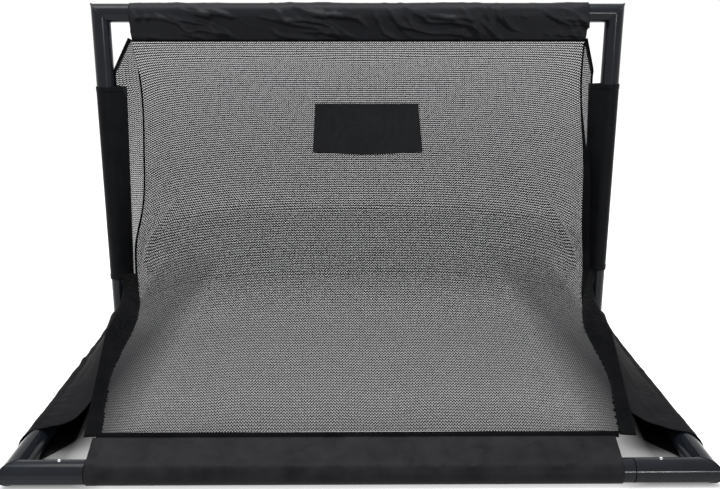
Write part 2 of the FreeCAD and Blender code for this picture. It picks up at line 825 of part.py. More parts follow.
def post_flap_tip(height):
    """How far out the inner edge of the post sleeve lies at a height."""
    height_share = share(height, *post_sleeve_ends("left"))
    reach = between(cell("post_flap_reach_bottom"), cell("post_flap_reach_top"), height_share)
    return SIDE - reach


# The corner strip's long edge, from the end of the top sleeve down to the top of the post sleeve.
CORNER_TOP_X = TOP_SLEEVE_RIGHT + gap
CORNER_TOP_Z = TOP - cell("top_flap_reach")
CORNER_FOOT_X = SIDE - cell("corner_strip_foot_inset")
CORNER_FOOT_Z = post_sleeve_ends("right")[1] + gap
CORNER_OUTER_X = SIDE - cell("corner_strip_outer_inset")


def gusset_outer(height):
    """The outer edge of a side gusset: under the corner strip, then beside the post sleeve."""
    under_corner = between(CORNER_FOOT_X, CORNER_TOP_X, share(height, CORNER_FOOT_Z, CORNER_TOP_Z))
    return min(under_corner - 2 * gap, post_flap_tip(height) - 2 * gap)


def gusset(side, sign):
    """A narrow upright strip of mesh between the net's side seam and the post sleeve."""
    inner = []
    outer = []
    for step in range(GUSSET_STEPS + 1):
        down = between(END_SHARE, CORNER_SHARE - END_SHARE, step / GUSSET_STEPS)
        seam = along_line(side_line, down)
        inner.append(mirrored(seam + Vector(2 * gap, 0, 0), sign))
        out = max(gusset_outer(seam.z), seam.x + cell("strip_thickness"))
        outer.append(mirrored(Vector(out, REAR - 2 * gap, seam.z), sign))
    ruled_strip(f"{side}_gusset", inner, outer)


def rail_binding(side, sign):
    """The dark cloth strip between the net's lower side edge and the rail sleeve."""
    inner = []
    outer = []
    for step in range(BINDING_STEPS + 1):
        part = step / BINDING_STEPS
        seam = along_line(side_line, between(CORNER_SHARE + END_SHARE, 1.0, part))
        inner.append(mirrored(seam + Vector(2 * gap, 0, 0), sign))
        edge = inner_edge(between(cell("sleeve_rear_gap"), SEAM_FORWARD, part**BINDING_LAG))
        outer.append(mirrored(edge - Vector(2 * gap, 0, HALF_TIP), sign))
    ruled_strip(f"{side}_rail_binding", inner, outer)


def corner_strip(side, sign):
    """A slanting strip across the upper corner, from the top sleeve to the post sleeve."""
    outline = [
        (CORNER_TOP_X, CORNER_TOP_Z + cell("corner_strip_height")),
        (CORNER_OUTER_X, CORNER_FOOT_Z + cell("corner_strip_height")),
        (CORNER_OUTER_X, CORNER_FOOT_Z),
        (CORNER_FOOT_X, CORNER_FOOT_Z),
        (CORNER_TOP_X, CORNER_TOP_Z),
    ]
    ring = [Vector(sign * x, REAR + HALF_TIP, z) for x, z in outline]
    face = Part.Face(Part.makePolygon(ring + ring[:1]))
    thicken(f"{side}_corner_strip", face, "Sizes.seam_thickness", Vector(0, -1, 0))


for side, sign in (("left", -1), ("right", 1)):
    gusset(side, sign)
    rail_binding(side, sign)
    corner_strip(side, sign)


# ---------------------------------------------------------------------------------------------
# Check and export
# ---------------------------------------------------------------------------------------------
doc.recompute()
for obj in doc.Objects:
    if "Invalid" in obj.State or "Error" in obj.State:
        raise RuntimeError(f"{obj.Name} failed: {obj.State}")
for name, obj in parts.items():
    if obj.Shape.isNull() or not obj.Shape.isValid() or not obj.Shape.Solids:
        raise RuntimeError(f"{name} has no valid solid")
    obj.Shape.exportStep(f"parts/{name}.step")
    box = obj.Shape.BoundBox
    print(
        f"{name}: {obj.Shape.Volume:.0f} mm3, {len(obj.Shape.Solids)} solid, "
        f"X {box.XMin:.1f} {box.XMax:.1f}, Y {box.YMin:.1f} {box.YMax:.1f}, Z {box.ZMin:.1f} {box.ZMax:.1f}"
    )
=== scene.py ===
"""Golf practice net: a low steel frame that stands on the floor, with a slack knitted net sewn
between cloth sleeves that slide onto its tubes. Metres, in the frame of the CAD model: +X along
the front bar, +Y to the back, +Z up, and the floor at nothing."""
import json
import math

import bpy
import numpy as np
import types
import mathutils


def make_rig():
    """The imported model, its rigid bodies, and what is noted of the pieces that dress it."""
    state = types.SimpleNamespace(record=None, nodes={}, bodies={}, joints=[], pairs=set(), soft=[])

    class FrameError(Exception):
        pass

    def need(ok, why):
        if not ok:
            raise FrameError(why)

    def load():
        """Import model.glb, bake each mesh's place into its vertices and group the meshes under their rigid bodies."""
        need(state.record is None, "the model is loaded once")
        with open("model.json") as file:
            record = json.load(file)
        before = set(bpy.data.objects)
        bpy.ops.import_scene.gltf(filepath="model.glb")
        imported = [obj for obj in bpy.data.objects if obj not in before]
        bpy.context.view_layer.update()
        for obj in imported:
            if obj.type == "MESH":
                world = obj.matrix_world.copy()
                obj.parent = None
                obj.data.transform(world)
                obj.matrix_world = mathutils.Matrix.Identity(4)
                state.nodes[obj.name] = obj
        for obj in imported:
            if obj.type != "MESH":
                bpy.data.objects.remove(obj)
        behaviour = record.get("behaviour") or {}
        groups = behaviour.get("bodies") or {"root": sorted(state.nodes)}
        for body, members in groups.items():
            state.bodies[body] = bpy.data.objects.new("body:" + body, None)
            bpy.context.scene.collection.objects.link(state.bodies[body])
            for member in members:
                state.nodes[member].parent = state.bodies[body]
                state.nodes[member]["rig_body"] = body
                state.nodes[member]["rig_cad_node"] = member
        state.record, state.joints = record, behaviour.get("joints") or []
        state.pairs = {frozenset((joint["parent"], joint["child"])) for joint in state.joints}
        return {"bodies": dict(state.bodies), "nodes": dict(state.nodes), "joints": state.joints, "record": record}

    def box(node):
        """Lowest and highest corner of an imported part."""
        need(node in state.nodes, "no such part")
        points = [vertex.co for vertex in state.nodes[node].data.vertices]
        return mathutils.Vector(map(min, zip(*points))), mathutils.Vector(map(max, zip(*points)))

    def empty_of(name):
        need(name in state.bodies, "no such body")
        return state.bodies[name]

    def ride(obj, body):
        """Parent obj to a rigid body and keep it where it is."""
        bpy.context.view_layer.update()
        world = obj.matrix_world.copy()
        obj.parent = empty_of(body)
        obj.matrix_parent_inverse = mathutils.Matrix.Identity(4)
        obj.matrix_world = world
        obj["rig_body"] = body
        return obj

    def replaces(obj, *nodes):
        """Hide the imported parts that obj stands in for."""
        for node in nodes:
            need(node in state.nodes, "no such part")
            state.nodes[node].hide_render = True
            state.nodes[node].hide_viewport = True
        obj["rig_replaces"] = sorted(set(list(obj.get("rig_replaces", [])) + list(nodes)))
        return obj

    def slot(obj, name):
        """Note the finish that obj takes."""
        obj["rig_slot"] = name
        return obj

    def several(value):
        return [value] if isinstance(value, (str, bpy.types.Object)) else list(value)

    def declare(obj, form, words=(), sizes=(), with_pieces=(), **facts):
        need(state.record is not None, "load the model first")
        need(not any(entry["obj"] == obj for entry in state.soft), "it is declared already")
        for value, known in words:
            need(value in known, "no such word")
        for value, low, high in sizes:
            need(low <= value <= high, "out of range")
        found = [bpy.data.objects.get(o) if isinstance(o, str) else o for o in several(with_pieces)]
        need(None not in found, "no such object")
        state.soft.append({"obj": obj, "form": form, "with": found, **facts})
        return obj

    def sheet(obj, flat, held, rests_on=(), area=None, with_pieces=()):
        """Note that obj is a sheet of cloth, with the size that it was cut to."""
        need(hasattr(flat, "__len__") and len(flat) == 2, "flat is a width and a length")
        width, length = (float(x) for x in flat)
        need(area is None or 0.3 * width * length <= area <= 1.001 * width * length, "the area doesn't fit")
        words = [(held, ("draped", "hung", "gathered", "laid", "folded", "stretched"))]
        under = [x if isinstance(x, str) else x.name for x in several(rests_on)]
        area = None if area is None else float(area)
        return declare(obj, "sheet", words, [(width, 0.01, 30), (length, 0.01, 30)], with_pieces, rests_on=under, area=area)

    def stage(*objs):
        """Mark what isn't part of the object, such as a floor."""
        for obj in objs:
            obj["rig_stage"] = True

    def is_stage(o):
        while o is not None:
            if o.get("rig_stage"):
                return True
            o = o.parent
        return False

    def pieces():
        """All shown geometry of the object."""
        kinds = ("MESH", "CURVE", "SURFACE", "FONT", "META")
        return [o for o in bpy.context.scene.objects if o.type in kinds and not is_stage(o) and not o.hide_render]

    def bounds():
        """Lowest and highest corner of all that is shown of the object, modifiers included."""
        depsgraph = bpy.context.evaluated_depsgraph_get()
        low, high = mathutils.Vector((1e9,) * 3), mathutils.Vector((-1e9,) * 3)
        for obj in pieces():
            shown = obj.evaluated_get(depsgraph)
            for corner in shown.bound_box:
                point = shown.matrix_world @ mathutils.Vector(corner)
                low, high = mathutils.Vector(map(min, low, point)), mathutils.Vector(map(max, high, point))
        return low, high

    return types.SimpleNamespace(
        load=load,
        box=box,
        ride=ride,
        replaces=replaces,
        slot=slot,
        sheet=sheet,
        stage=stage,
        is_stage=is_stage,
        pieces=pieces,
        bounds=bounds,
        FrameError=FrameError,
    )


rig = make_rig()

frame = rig.load()
cad_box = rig.bounds()


# ------------------------------
# Frame tubes
# Mild steel tube, bent nowhere: it is cut at 45 degrees, welded and powder coated in one colour.
# The six corners carry a low ground weld bead, and the narrowed plugs hide inside their stubs.
# ------------------------------
BODY = "frame_and_net"
SIDES = (("left", -1), ("right", 1))
rail_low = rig.box("left_rail")[0]
bar_low, bar_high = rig.box("front_bar")
top_low, top_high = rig.box("top_bar")
TUBE = (bar_high.z - bar_low.z) / 2
SIDE = -rail_low.x - TUBE
FRONT = (bar_low.y + bar_high.y) / 2
LOW = (bar_low.z + bar_high.z) / 2
REAR = (top_low.y + top_high.y) / 2
TOP = (top_low.z + top_high.z) / 2
# How many points go round a ring, a sleeve or a hem.
ROUND = 72


def linear(colour):
    """A colour written as sRGB hex, turned to the linear values that a shader takes."""
    parts = [int(colour[place:place + 2], 16) / 255 for place in (1, 3, 5)]
    return [part / 12.92 if part <= 0.04045 else ((part + 0.055) / 1.055) ** 2.4 for part in parts] + [1]


def node(tree, kind, inputs=None, **settings):
    """Adds a node with its settings, and feeds each named input from a socket or with a value."""
    made = tree.nodes.new(kind)
    for name, setting in settings.items():
        setattr(made, name, setting)
    for name, value in (inputs or {}).items():
        if isinstance(value, bpy.types.NodeSocket):
            tree.links.new(value, made.inputs[name])
        else:
            made.inputs[name].default_value = value
    return made


def finish(name, **constants):
    """A new material with one Principled shader, whose constant sockets are set here."""
    material = bpy.data.materials.new(name)
    material.use_nodes = True
    shader = material.node_tree.nodes["Principled BSDF"]
    for socket, value in constants.items():
        shader.inputs[socket.replace("_", " ")].default_value = value
    return material, material.node_tree, shader


def feed(tree, shader, **outputs):
    """Feeds sockets of a shader from the outputs of nodes."""
    for socket, output in outputs.items():
        tree.links.new(output, shader.inputs[socket.replace("_", " ")])


def noise(tree, size, detail, roughness=0.5):
    """The output of a noise texture over the object, with lumps of about one size in metres."""
    place = node(tree, "ShaderNodeTexCoord").outputs["Object"]
    inputs = {"Vector": place, "Scale": 1 / size, "Detail": detail, "Roughness": roughness}
    return node(tree, "ShaderNodeTexNoise", inputs).outputs["Fac"]


def remapped(tree, value, start, end, low=0.0, high=1.0):
    """The output of a map range node, which turns start to end into low to high, and clamps."""
    inputs = {"Value": value, "From Min": start, "From Max": end, "To Min": low, "To Max": high}
    return node(tree, "ShaderNodeMapRange", inputs).outputs["Result"]


def ramp(tree, value, start, dark, end, light):
    """The output of a colour ramp, from a dark colour at start to a light one at end."""
    made = node(tree, "ShaderNodeValToRGB", {"Fac": value})
    for stop, place, colour in zip(made.color_ramp.elements, (start, end), (dark, light)):
        stop.position = place
        stop.color = linear(colour)
    return made.outputs["Color"]


def mixed(tree, value, first, second, **settings):
    """The output of a colour mix of two colours, each given as hex or as a socket."""
    inputs = {"Fac": value}
    for socket, colour in (("Color1", first), ("Color2", second)):
        inputs[socket] = linear(colour) if isinstance(colour, str) else colour
    return node(tree, "ShaderNodeMixRGB", inputs, **settings).outputs["Color"]


def maths(tree, operation, *numbers):
    """The output of a maths node on numbers or sockets."""
    return node(tree, "ShaderNodeMath", dict(enumerate(numbers)), operation=operation).outputs["Value"]


def raised(tree, height, strength, distance, under=None):
    """The normal of a bump, laid over another bump's normal if there is one."""
    inputs = {"Height": height, "Strength": strength, "Distance": distance}
    if under:
        inputs["Normal"] = under
    return node(tree, "ShaderNodeBump", inputs).outputs["Normal"]


def powder_coat():
    """Gloss powder coat, sprayed and baked: an even dark blue-grey skin with a faint orange peel,
    2 mm from crest to crest, and a slightly duller bloom in wide patches from handling."""
    material, tree, shader = finish("powder_coated_steel", IOR=1.45, Specular_IOR_Level=0.2)
    peel = noise(tree, 0.002, 1.0)
    bloom = noise(tree, 0.06, 3.0)
    feed(
        tree,
        shader,
        Base_Color=ramp(tree, bloom, 0.3, "#14171c", 0.75, "#1b1f26"),
        Roughness=remapped(tree, bloom, 0.3, 0.7, 0.12, 0.2),
        Normal=raised(tree, peel, 0.12, 0.0003),
    )
    return material


def dress(names, material):
    """Gives CAD nodes their finish."""
    for name in names:
        part = frame["nodes"][name]
        part.data.materials.clear()
        part.data.materials.append(material)


def added(name, data):
    """A new object in the scene, which holds a mesh, a lamp or a camera."""
    made = bpy.data.objects.new(name, data)
    bpy.context.scene.collection.objects.link(made)
    return made


def surface(name, points, material, wrap=False):
    """A quad mesh over points in rows and columns, with a UV map in metres: across the columns by
    their mean spacing, and down the rows by theirs. A wrapped mesh joins its last column to its first."""
    rows, columns = points.shape[:2]
    number = np.arange(rows * columns).reshape(rows, columns)
    spread = points
    if wrap:
        number = np.concatenate([number, number[:, :1]], axis=1)
        spread = np.concatenate([points, points[:, :1]], axis=1)
    corners = [(slice(None, -1), slice(None, -1)), (slice(None, -1), slice(1, None)),
               (slice(1, None), slice(1, None)), (slice(1, None), slice(None, -1))]
    faces = np.stack([number[corner] for corner in corners], axis=-1).reshape(-1, 4)
    across = np.linalg.norm(np.diff(spread, axis=1), axis=2).mean(axis=0)
    down = np.linalg.norm(np.diff(spread, axis=0), axis=2).mean(axis=1)
    u, v = np.meshgrid(np.r_[0, np.cumsum(across)], np.r_[0, np.cumsum(down)])
    chart = np.stack([u, v], axis=-1)
    loops = np.stack([chart[corner] for corner in corners], axis=-2).reshape(-1, 2)
    mesh = bpy.data.meshes.new(name)
    mesh.from_pydata(points.reshape(-1, 3).tolist(), [], faces.tolist())
    mesh.uv_layers.new(name="UVMap").data.foreach_set("uv", loops.ravel())
    mesh.shade_smooth()
    mesh.materials.append(material)
    return added(name, mesh)


coat = powder_coat()
dress(["front_bar", "top_bar", "left_post", "right_post", "left_rail", "right_rail"], coat)
WELD_SIZE = 0.0011


def weld_bead(name, corner, ways):
    """A bead round a mitre. Its line is the ellipse where the two tubes meet: the tube's radius
    along their common normal, and root two times it along the diagonal between them. A small
    circle, rippled along the line, is carried round it."""
    first, second = (np.array(way, float) for way in ways)
    normal = np.cross(first, second)
    diagonal = (first + second) / math.sqrt(2)
    across = (first - second) / math.sqrt(2)
    turn = np.linspace(0, 2 * np.pi, 96, endpoint=False)[:, None, None]
    round_it = np.linspace(0, 2 * np.pi, 10, endpoint=False)[None, :, None]
    out = np.cos(turn) * normal + np.sin(turn) * diagonal
    line = np.array(corner) + TUBE * (np.cos(turn) * normal + math.sqrt(2) * np.sin(turn) * diagonal)
    size = WELD_SIZE * (1 + 0.14 * np.sin(31 * turn) + 0.08 * np.sin(17 * turn + 1))
    points = line + size * (np.cos(round_it) * out + np.sin(round_it) * across)
    points = np.concatenate([points, points[:1]], axis=0)
    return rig.slot(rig.ride(surface(name, points, coat, wrap=True), BODY), "tube_paint")


for side, sign in SIDES:
    inward = (-sign, 0, 0)
    weld_bead(f"{side}_top_weld", (sign * SIDE, REAR, TOP), (inward, (0, 0, -1)))
    weld_bead(f"{side}_front_weld", (sign * SIDE, FRONT, LOW), (inward, (0, 1, 0)))
    weld_bead(f"{side}_rear_weld", (sign * SIDE, REAR, LOW), ((0, -1, 0), (0, 0, 1)))

# The shut lines show as narrow near-black rings of painted shade, which stand for the shadow in the gap between the
# tube ends. Each has its own place along the front bar.
SHUT_LINES = {"left": -0.4200, "right": 0.4182}
SHUT_WIDTH = 0.0016
SHUT_RISE = 0.00025
# Painted shade: the ring's near-black colour stands for the shadow inside the joint gap.
shut_line, _, _ = finish(
    "unlit_joint_gap", Base_Color=linear("#060708"), Roughness=0.9, Specular_IOR_Level=0.05
)


def joint_ring(name, place):
    """The shut line where the front bar meets its stub: a circle carried along the bar, and
    raised by a parabola."""
    along = np.linspace(-1, 1, 5)[:, None]
    turn = np.linspace(0, 2 * np.pi, ROUND, endpoint=False)[None, :]
    radius = TUBE + SHUT_RISE * (1 - along ** 2)
    x = place + SHUT_WIDTH / 2 * along + 0 * turn
    points = np.stack([x, FRONT + radius * np.cos(turn), LOW + radius * np.sin(turn)], axis=-1)
    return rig.ride(surface(name, points, shut_line, wrap=True), BODY)


for side, place in SHUT_LINES.items():
    joint_ring(f"{side}_front_shut_line", place)


# ------------------------------
# Snap buttons and spring clips
# The buttons are turned steel pins with a domed, nickel-plated top. Each rides on a bent strip of
# spring steel inside the plug, and pops up through the hole in the stub.
# ------------------------------
JOINTS = [f"{place}_{side}" for place in ("front", "top", "rear") for side in ("left", "right")]


def plated_steel(name, colour, roughness, line):
    """Bright plated or rolled steel: turning or rolling leaves fine lines, a line's width apart."""
    material, tree, shader = finish(name, Metallic=1.0)
    grain = noise(tree, line, 2.0)
    feed(
        tree,
        shader,
        Base_Color=mixed(tree, grain, colour, "#8d9095"),
        Roughness=remapped(tree, grain, 0, 1, roughness * 0.7, roughness * 1.4),
    )
    return material


nickel = plated_steel("nickel_plated_steel", "#d8dade", 0.22, 0.0012)
dress([f"{joint}_button" for joint in JOINTS], nickel)
spring_steel = plated_steel("rolled_spring_steel", "#9a9ca0", 0.35, 0.0004)
dress([f"{joint}_clip" for joint in JOINTS], spring_steel)


# ------------------------------
# Top sleeve and front sleeve
# Plain-woven coated polyester, folded round a tube and sewn to itself in a flap, which the net
# hangs from. The cloth is slack, so it puckers along the seam and creases on the slant.
# ------------------------------
CLOTH = 0.0008
# The outer face of cloth that lies on the floor is drawn no lower than this.
GROUND = 0.0006
# The distance between the cloth and the tube that it is folded round.
TUBE_SLACK = 0.0009
# Creases fade in over this distance from a seam, where the two layers lie this far apart.
SEAM_REACH = 0.02
SEAM_GAP = 0.0014
# A wave texture of scale one repeats about this often in a metre.
WAVE_RATE = 3.1416


def share(number, start, end):
    """Where a number lies on the way from a start to an end, from 0 to 1."""
    return np.clip((number - start) / (end - start), 0, 1)


def cut_size(points):
    """What a cloth was cut to: its greatest width and length over a grid of points, and its area,
    as the sum of its faces' areas, each half the cross product of its diagonals."""
    width = np.linalg.norm(np.diff(points, axis=1), axis=2).sum(axis=1).max()
    length = np.linalg.norm(np.diff(points, axis=0), axis=2).sum(axis=0).max()
    diagonals = np.cross(points[1:, 1:] - points[:-1, :-1], points[1:, :-1] - points[:-1, 1:])
    area = np.linalg.norm(diagonals, axis=2).sum() / 2
    return {"flat": (float(width), float(length)), "area": float(area)}


def woven_polyester(name, dark, light, gloss=0.12, sheen=0.02, weave=0.0016):
    """Coated polyester cloth: its threads lie 0.5 mm apart, and are drawn coarser so that they show.
    The coating gives a satin surface with a soft sheen, and rubbed crests are slightly lighter."""
    material, tree, shader = finish(
        name, Specular_IOR_Level=gloss, Sheen_Weight=sheen, Sheen_Roughness=0.45, IOR=1.45
    )
    chart = node(tree, "ShaderNodeUVMap", uv_map="UVMap").outputs["UV"]
    bands = {"Vector": chart, "Scale": 1 / weave / WAVE_RATE}
    warp = node(tree, "ShaderNodeTexWave", bands, bands_direction="X").outputs["Fac"]
    weft = node(tree, "ShaderNodeTexWave", bands, bands_direction="Y").outputs["Fac"]
    threads = maths(tree, "MAXIMUM", warp, weft)
    rub = noise(tree, 0.045, 5.0, 0.6)
    crinkle = noise(tree, 0.012, 3.0)
    tint = ramp(tree, rub, 0.32, dark, 0.7, light)
    fine = raised(tree, threads, 0.25, 0.0003)
    feed(
        tree,
        shader,
        Base_Color=mixed(tree, 0.16, tint, threads, blend_type="MULTIPLY"),
        Roughness=remapped(tree, rub, 0.3, 0.7, 0.36, 0.48),
        Normal=raised(tree, crinkle, 0.25, 0.0015, fine),
    )
    return material


def creases(along, around, seed, spacing, slant=0.0, spread=0.6, sharp=2.0, waves=9):
    """Creases in slack cloth, about -0.5 to 1: several sines of about one spacing, whose crests
    wander, keep near one slant, fade in and out, and are sharpened into ridges."""
    total = 0
    for turn, length, phase, wander in np.random.default_rng(seed).random((waves, 4)):
        angle = slant + (turn * 2 - 1) * spread
        rate = 2 * np.pi / (spacing * (0.6 + 0.9 * length))
        way = along * math.cos(angle) + around * math.sin(angle)
        beside = around * math.cos(angle) - along * math.sin(angle)
        wave = np.sin(rate * way + 6.28 * phase + 1.6 * np.sin(rate * 0.37 * beside + 6.28 * wander))
        fade = 0.5 + 0.5 * np.sin(rate * 0.29 * way + rate * 0.21 * beside + 9 * wander)
        total = total + (1 - np.abs(wave)) ** sharp * fade
    return total / waves * 2.5 - 0.4


def tube_sleeve_profile(around, radius, reach):
    """The outline of cloth folded round a tube and sewn in a flap, as distances along the flap's
    way and to its side, and its outward normal: from the seam straight to the tube, round its far
    side, and straight back. Around runs from 0 to 1 by length."""
    touch = np.arccos(radius / reach)
    straight = np.sqrt(reach ** 2 - radius ** 2)
    arc = 2 * (np.pi - touch) * radius
    length = around * (2 * straight + arc)
    turn = touch + np.clip((length - straight) / arc, 0, 1) * 2 * (np.pi - touch)
    left = np.clip(straight - length, 0, None) + np.clip(length - straight - arc, 0, None)
    side = np.where(length < straight + arc / 2, 1, -1)
    # From the point where the cloth leaves the tube, it goes on along the tangent.
    forward = radius * np.cos(turn) + left * np.sin(touch)
    sideways = radius * np.sin(turn) - side * left * np.cos(touch)
    return forward, sideways, np.cos(turn), np.sin(turn), length, 2 * straight + arc


def beside_tube(start, run_way, run, reach_way, forward, sideways):
    """Points from their distances along the tube, along the flap's way and to the flap's side."""
    run_way, reach_way = np.array(run_way, float), np.array(reach_way, float)
    side_way = np.cross(run_way, reach_way)
    run = run + 0 * forward
    return (
        np.array(start)
        + run_way * run[..., None]
        + reach_way * forward[..., None]
        + side_way * sideways[..., None]
    )


def thicken(piece, thickness=CLOTH, offset=-1):
    """Gives a sheet its thickness: inwards at -1, half each way at 0, and outwards at 1."""
    wall = piece.modifiers.new("Cloth", "SOLIDIFY")
    wall.thickness = thickness
    wall.offset = offset
    return piece


def tube_sleeve(name, start, run_way, run, reach_way, reach, slack, material, floor=False):
    """A sleeve: the folded outline is carried along the tube, and pushed out by its creases, which
    vanish at the seam. Slack is a function of the distances along and around. Reach may change."""
    rows = max(24, int(run / 0.004))
    along = np.linspace(0, 1, rows)[:, None]
    around = np.linspace(0, 1, ROUND)[None, :]
    reach = reach[0] + (reach[1] - reach[0]) * along if isinstance(reach, tuple) else reach + 0 * along
    forward, sideways, out, beside, length, whole = tube_sleeve_profile(around, TUBE + TUBE_SLACK, reach)
    seam = np.clip(np.minimum(length, whole - length) / SEAM_REACH, 0, 1)
    free = 0.12 + 0.88 * share(np.abs(around - 0.5), 0.08, 0.22)
    lift = (0.0004 + np.clip(slack(along * run, length), 0, None) * free) * seam
    forward, sideways = forward + lift * out, sideways + lift * beside
    gap = SEAM_GAP / 2 * np.sign(0.5 - around) * (1 - seam)
    points = beside_tube(start, run_way, along * run, reach_way, forward, sideways + gap)
    if floor:
        points[..., 2] = np.maximum(points[..., 2], GROUND)
    piece = thicken(surface(name, points, material))
    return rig.slot(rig.ride(piece, BODY), "sleeve_cloth"), cut_size(points)


top_cloth = woven_polyester("woven_polyester", "#16171b", "#1f2025", gloss=0.15)
top_sleeve_low, top_sleeve_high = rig.box("top_sleeve")
top_reach = TOP - top_sleeve_low.z - 0.0045


def top_slack(along, around):
    """Long ridges that slant down to the right, finer ones between them, and short puckers."""
    slanting = creases(along, around, 3, 0.1, -0.95, 0.12, 1.4, 3)
    finer = creases(along, around, 4, 0.05, -0.85, 0.25, 1.6, 4)
    pucker = creases(along, around, 5, 0.024, -0.2, 0.3)
    return 0.002 + 0.013 * slanting + 0.005 * finer + 0.001 * pucker


top_sleeve, cut = tube_sleeve(
    "top_sleeve_cloth",
    (top_sleeve_low.x, REAR, TOP),
    (1, 0, 0),
    top_sleeve_high.x - top_sleeve_low.x,
    (0, 0, -1),
    top_reach,
    top_slack,
    top_cloth,
)
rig.replaces(top_sleeve, "top_sleeve")
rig.sheet(top_sleeve, **cut, held="hung", rests_on=["top_bar"])

# The left end of the front sleeve stops this far short of its CAD solid's end.
FRONT_INSET = 0.004
# Painted light: the front sleeve is the top sleeve's cloth, given lighter colours for the light that falls on its
# upturned face.
front_cloth = woven_polyester("woven_polyester_painted_lighter", "#19191c", "#2b2a2c", gloss=0.07)
front_sleeve_low, front_sleeve_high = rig.box("front_sleeve")
FLAP_ANGLE = math.radians(43)
front_way = np.array([0, math.cos(FLAP_ANGLE), math.sin(FLAP_ANGLE)])
front_reach = (front_sleeve_high.z - LOW) / math.sin(FLAP_ANGLE) - 0.0014


def front_slack(along, around):
    """Broad shallow creases, and puckers that run from the seam over the flap."""
    broad = creases(along, around, 11, 0.1, 0.6, 0.5, 3.0, 6)
    pucker = creases(along, around, 12, 0.032, 0.3, 0.35)
    return 0.0006 + 0.0038 * broad + 0.0016 * pucker


front_sleeve, cut = tube_sleeve(
    "front_sleeve_cloth",
    (front_sleeve_low.x + FRONT_INSET, FRONT, LOW),
    (1, 0, 0),
    front_sleeve_high.x - front_sleeve_low.x - FRONT_INSET,
    front_way,
    front_reach,
    front_slack,
    front_cloth,
    floor=True,
)
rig.replaces(front_sleeve, "front_sleeve")
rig.sheet(front_sleeve, **cut, held="stretched", rests_on=["front_bar"])


# ------------------------------
# Post sleeves
# The same cloth, folded round each post and sewn in a flap that points to the middle, and
# given darker colours as painted shade on the upright sleeves. They are pulled tight, so they lie
# almost smooth, and are hemmed at both ends.
# ------------------------------
def post_slack(seed):
    """Long shallow folds that run down the sleeve."""
    def slack(along, around):
        long_folds = creases(along, around, seed, 0.12, 1.2, 0.4)
        finer = creases(along, around, seed + 1, 0.03, 0.4, 0.6)
        return 0.0022 * long_folds + 0.0006 * finer
    return slack


HEM_WIDTH = 0.012
HEM_SLACK = 0.0013
# How far the flap of a post sleeve reaches from the post's middle line, at its foot and its top.
FLAP_REACH = (0.031, 0.044)
# The hems reach a little further than the sleeve at the foot, and a little less at the top.
FOOT_HEM_REACH = 0.0313
TOP_HEM_REACH = 0.0437


def hem(name, start, reach_way, reach, material):
    """A turned and sewn hem: a short second layer over the end of a sleeve, with rounded edges."""
    along = np.linspace(0, 1, 9)[:, None]
    around = np.linspace(0, 1, ROUND)[None, :]
    forward, sideways, out, beside, length, whole = tube_sleeve_profile(
        around, TUBE + HEM_SLACK, reach + 0 * along
    )
    seam = np.clip(np.minimum(length, whole - length) / 0.01, 0, 1)
    stitched = creases(along * HEM_WIDTH, length, 8, 0.02)
    lift = 0.0008 * np.sqrt(1 - (2 * along - 1) ** 4) * seam + 0.0003 * stitched
    forward, sideways = forward + lift * out, sideways + lift * beside
    gap = 0.0012 * np.sign(0.5 - around) * (1 - seam)
    points = beside_tube(start, (0, 0, 1), along * HEM_WIDTH, reach_way, forward, sideways + gap)
    piece = thicken(surface(name, points, material))
    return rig.slot(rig.ride(piece, BODY), "sleeve_cloth")


# Painted shade: darker colours than the top sleeve's cloth, for the shade on the upright post sleeves.
post_cloth = woven_polyester("woven_polyester_painted_shade", "#101114", "#18191c", gloss=0.05)
for side, sign in SIDES:
    low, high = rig.box(f"{side}_post_sleeve")
    inward = (-sign, 0, 0)
    foot = (sign * SIDE, REAR, low.z)
    top = (sign * SIDE, REAR, high.z - HEM_WIDTH)
    sleeve, cut = tube_sleeve(
        f"{side}_post_sleeve_cloth",
        foot,
        (0, 0, 1),
        high.z - low.z,
        inward,
        FLAP_REACH,
        post_slack(20 + sign),
        post_cloth,
    )
    top_hem = hem(f"{side}_post_sleeve_top_hem", top, inward, TOP_HEM_REACH, post_cloth)
    foot_hem = hem(f"{side}_post_sleeve_foot_hem", foot, inward, FOOT_HEM_REACH, post_cloth)
    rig.replaces(sleeve, f"{side}_post_sleeve")
    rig.sheet(sleeve, **cut, held="stretched", rests_on=[f"{side}_post"], with_pieces=[top_hem, foot_hem])


# ------------------------------
# Rail sleeves
# Wide sleeves, open at both ends, of the sleeves' cloth painted slightly lighter and warmer, as painted
# light on their upturned faces and a painted sheen. The cloth goes over the floor rail and down to
# the floor, and reaches in to the net's binding, so it lies like a wing.
# ------------------------------
# Painted light: lighter, warmer colours than the top sleeve's cloth, for the light on the wing's upturned face and its
# sheen, which the near-zero gloss leaves out.
wing_cloth = woven_polyester("woven_polyester_painted_lit", "#1c1b1d", "#272628", gloss=0.002, sheen=0.004)
# How far the front seam lies from the front bar's middle line.
FRONT_FLAP = 0.0546
SEAM_FRONT = np.array([0, FRONT, LOW]) + front_way * FRONT_FLAP
SEAM_FORWARD = REAR - SEAM_FRONT[1]
EDGE_BREAK = 0.45 * SEAM_FORWARD
# The wing starts this far forward of the post's middle, and the two layers at its inner edge lie
# this far to each side of the edge.
WING_START = TUBE + 0.003
EDGE_LAYER = 0.0013
# The edge's inset at the post, and what each of its runs adds to it; and how far each run falls.
EDGE_INSETS = (0.022, 0.023, 0.056)
EDGE_FALLS = (0.006, 0.043)
# The heel's inset at the post, and what is added to it by the front.
HEEL_INSETS = (0.022, 0.036)


def inner_edge(forward):
    """The inner edge of a rail sleeve at a distance forward of the posts, as its distance out and
    its height: it draws in by two straight runs, and falls to the front from the break on."""
    rear, front = share(forward, 0, EDGE_BREAK), share(forward, EDGE_BREAK, SEAM_FORWARD)
    inset = EDGE_INSETS[0] + EDGE_INSETS[1] * rear + EDGE_INSETS[2] * front
    height = SEAM_FRONT[2] + EDGE_FALLS[1] * (1 - front) + EDGE_FALLS[0] * (1 - rear)
    return SIDE - inset, height


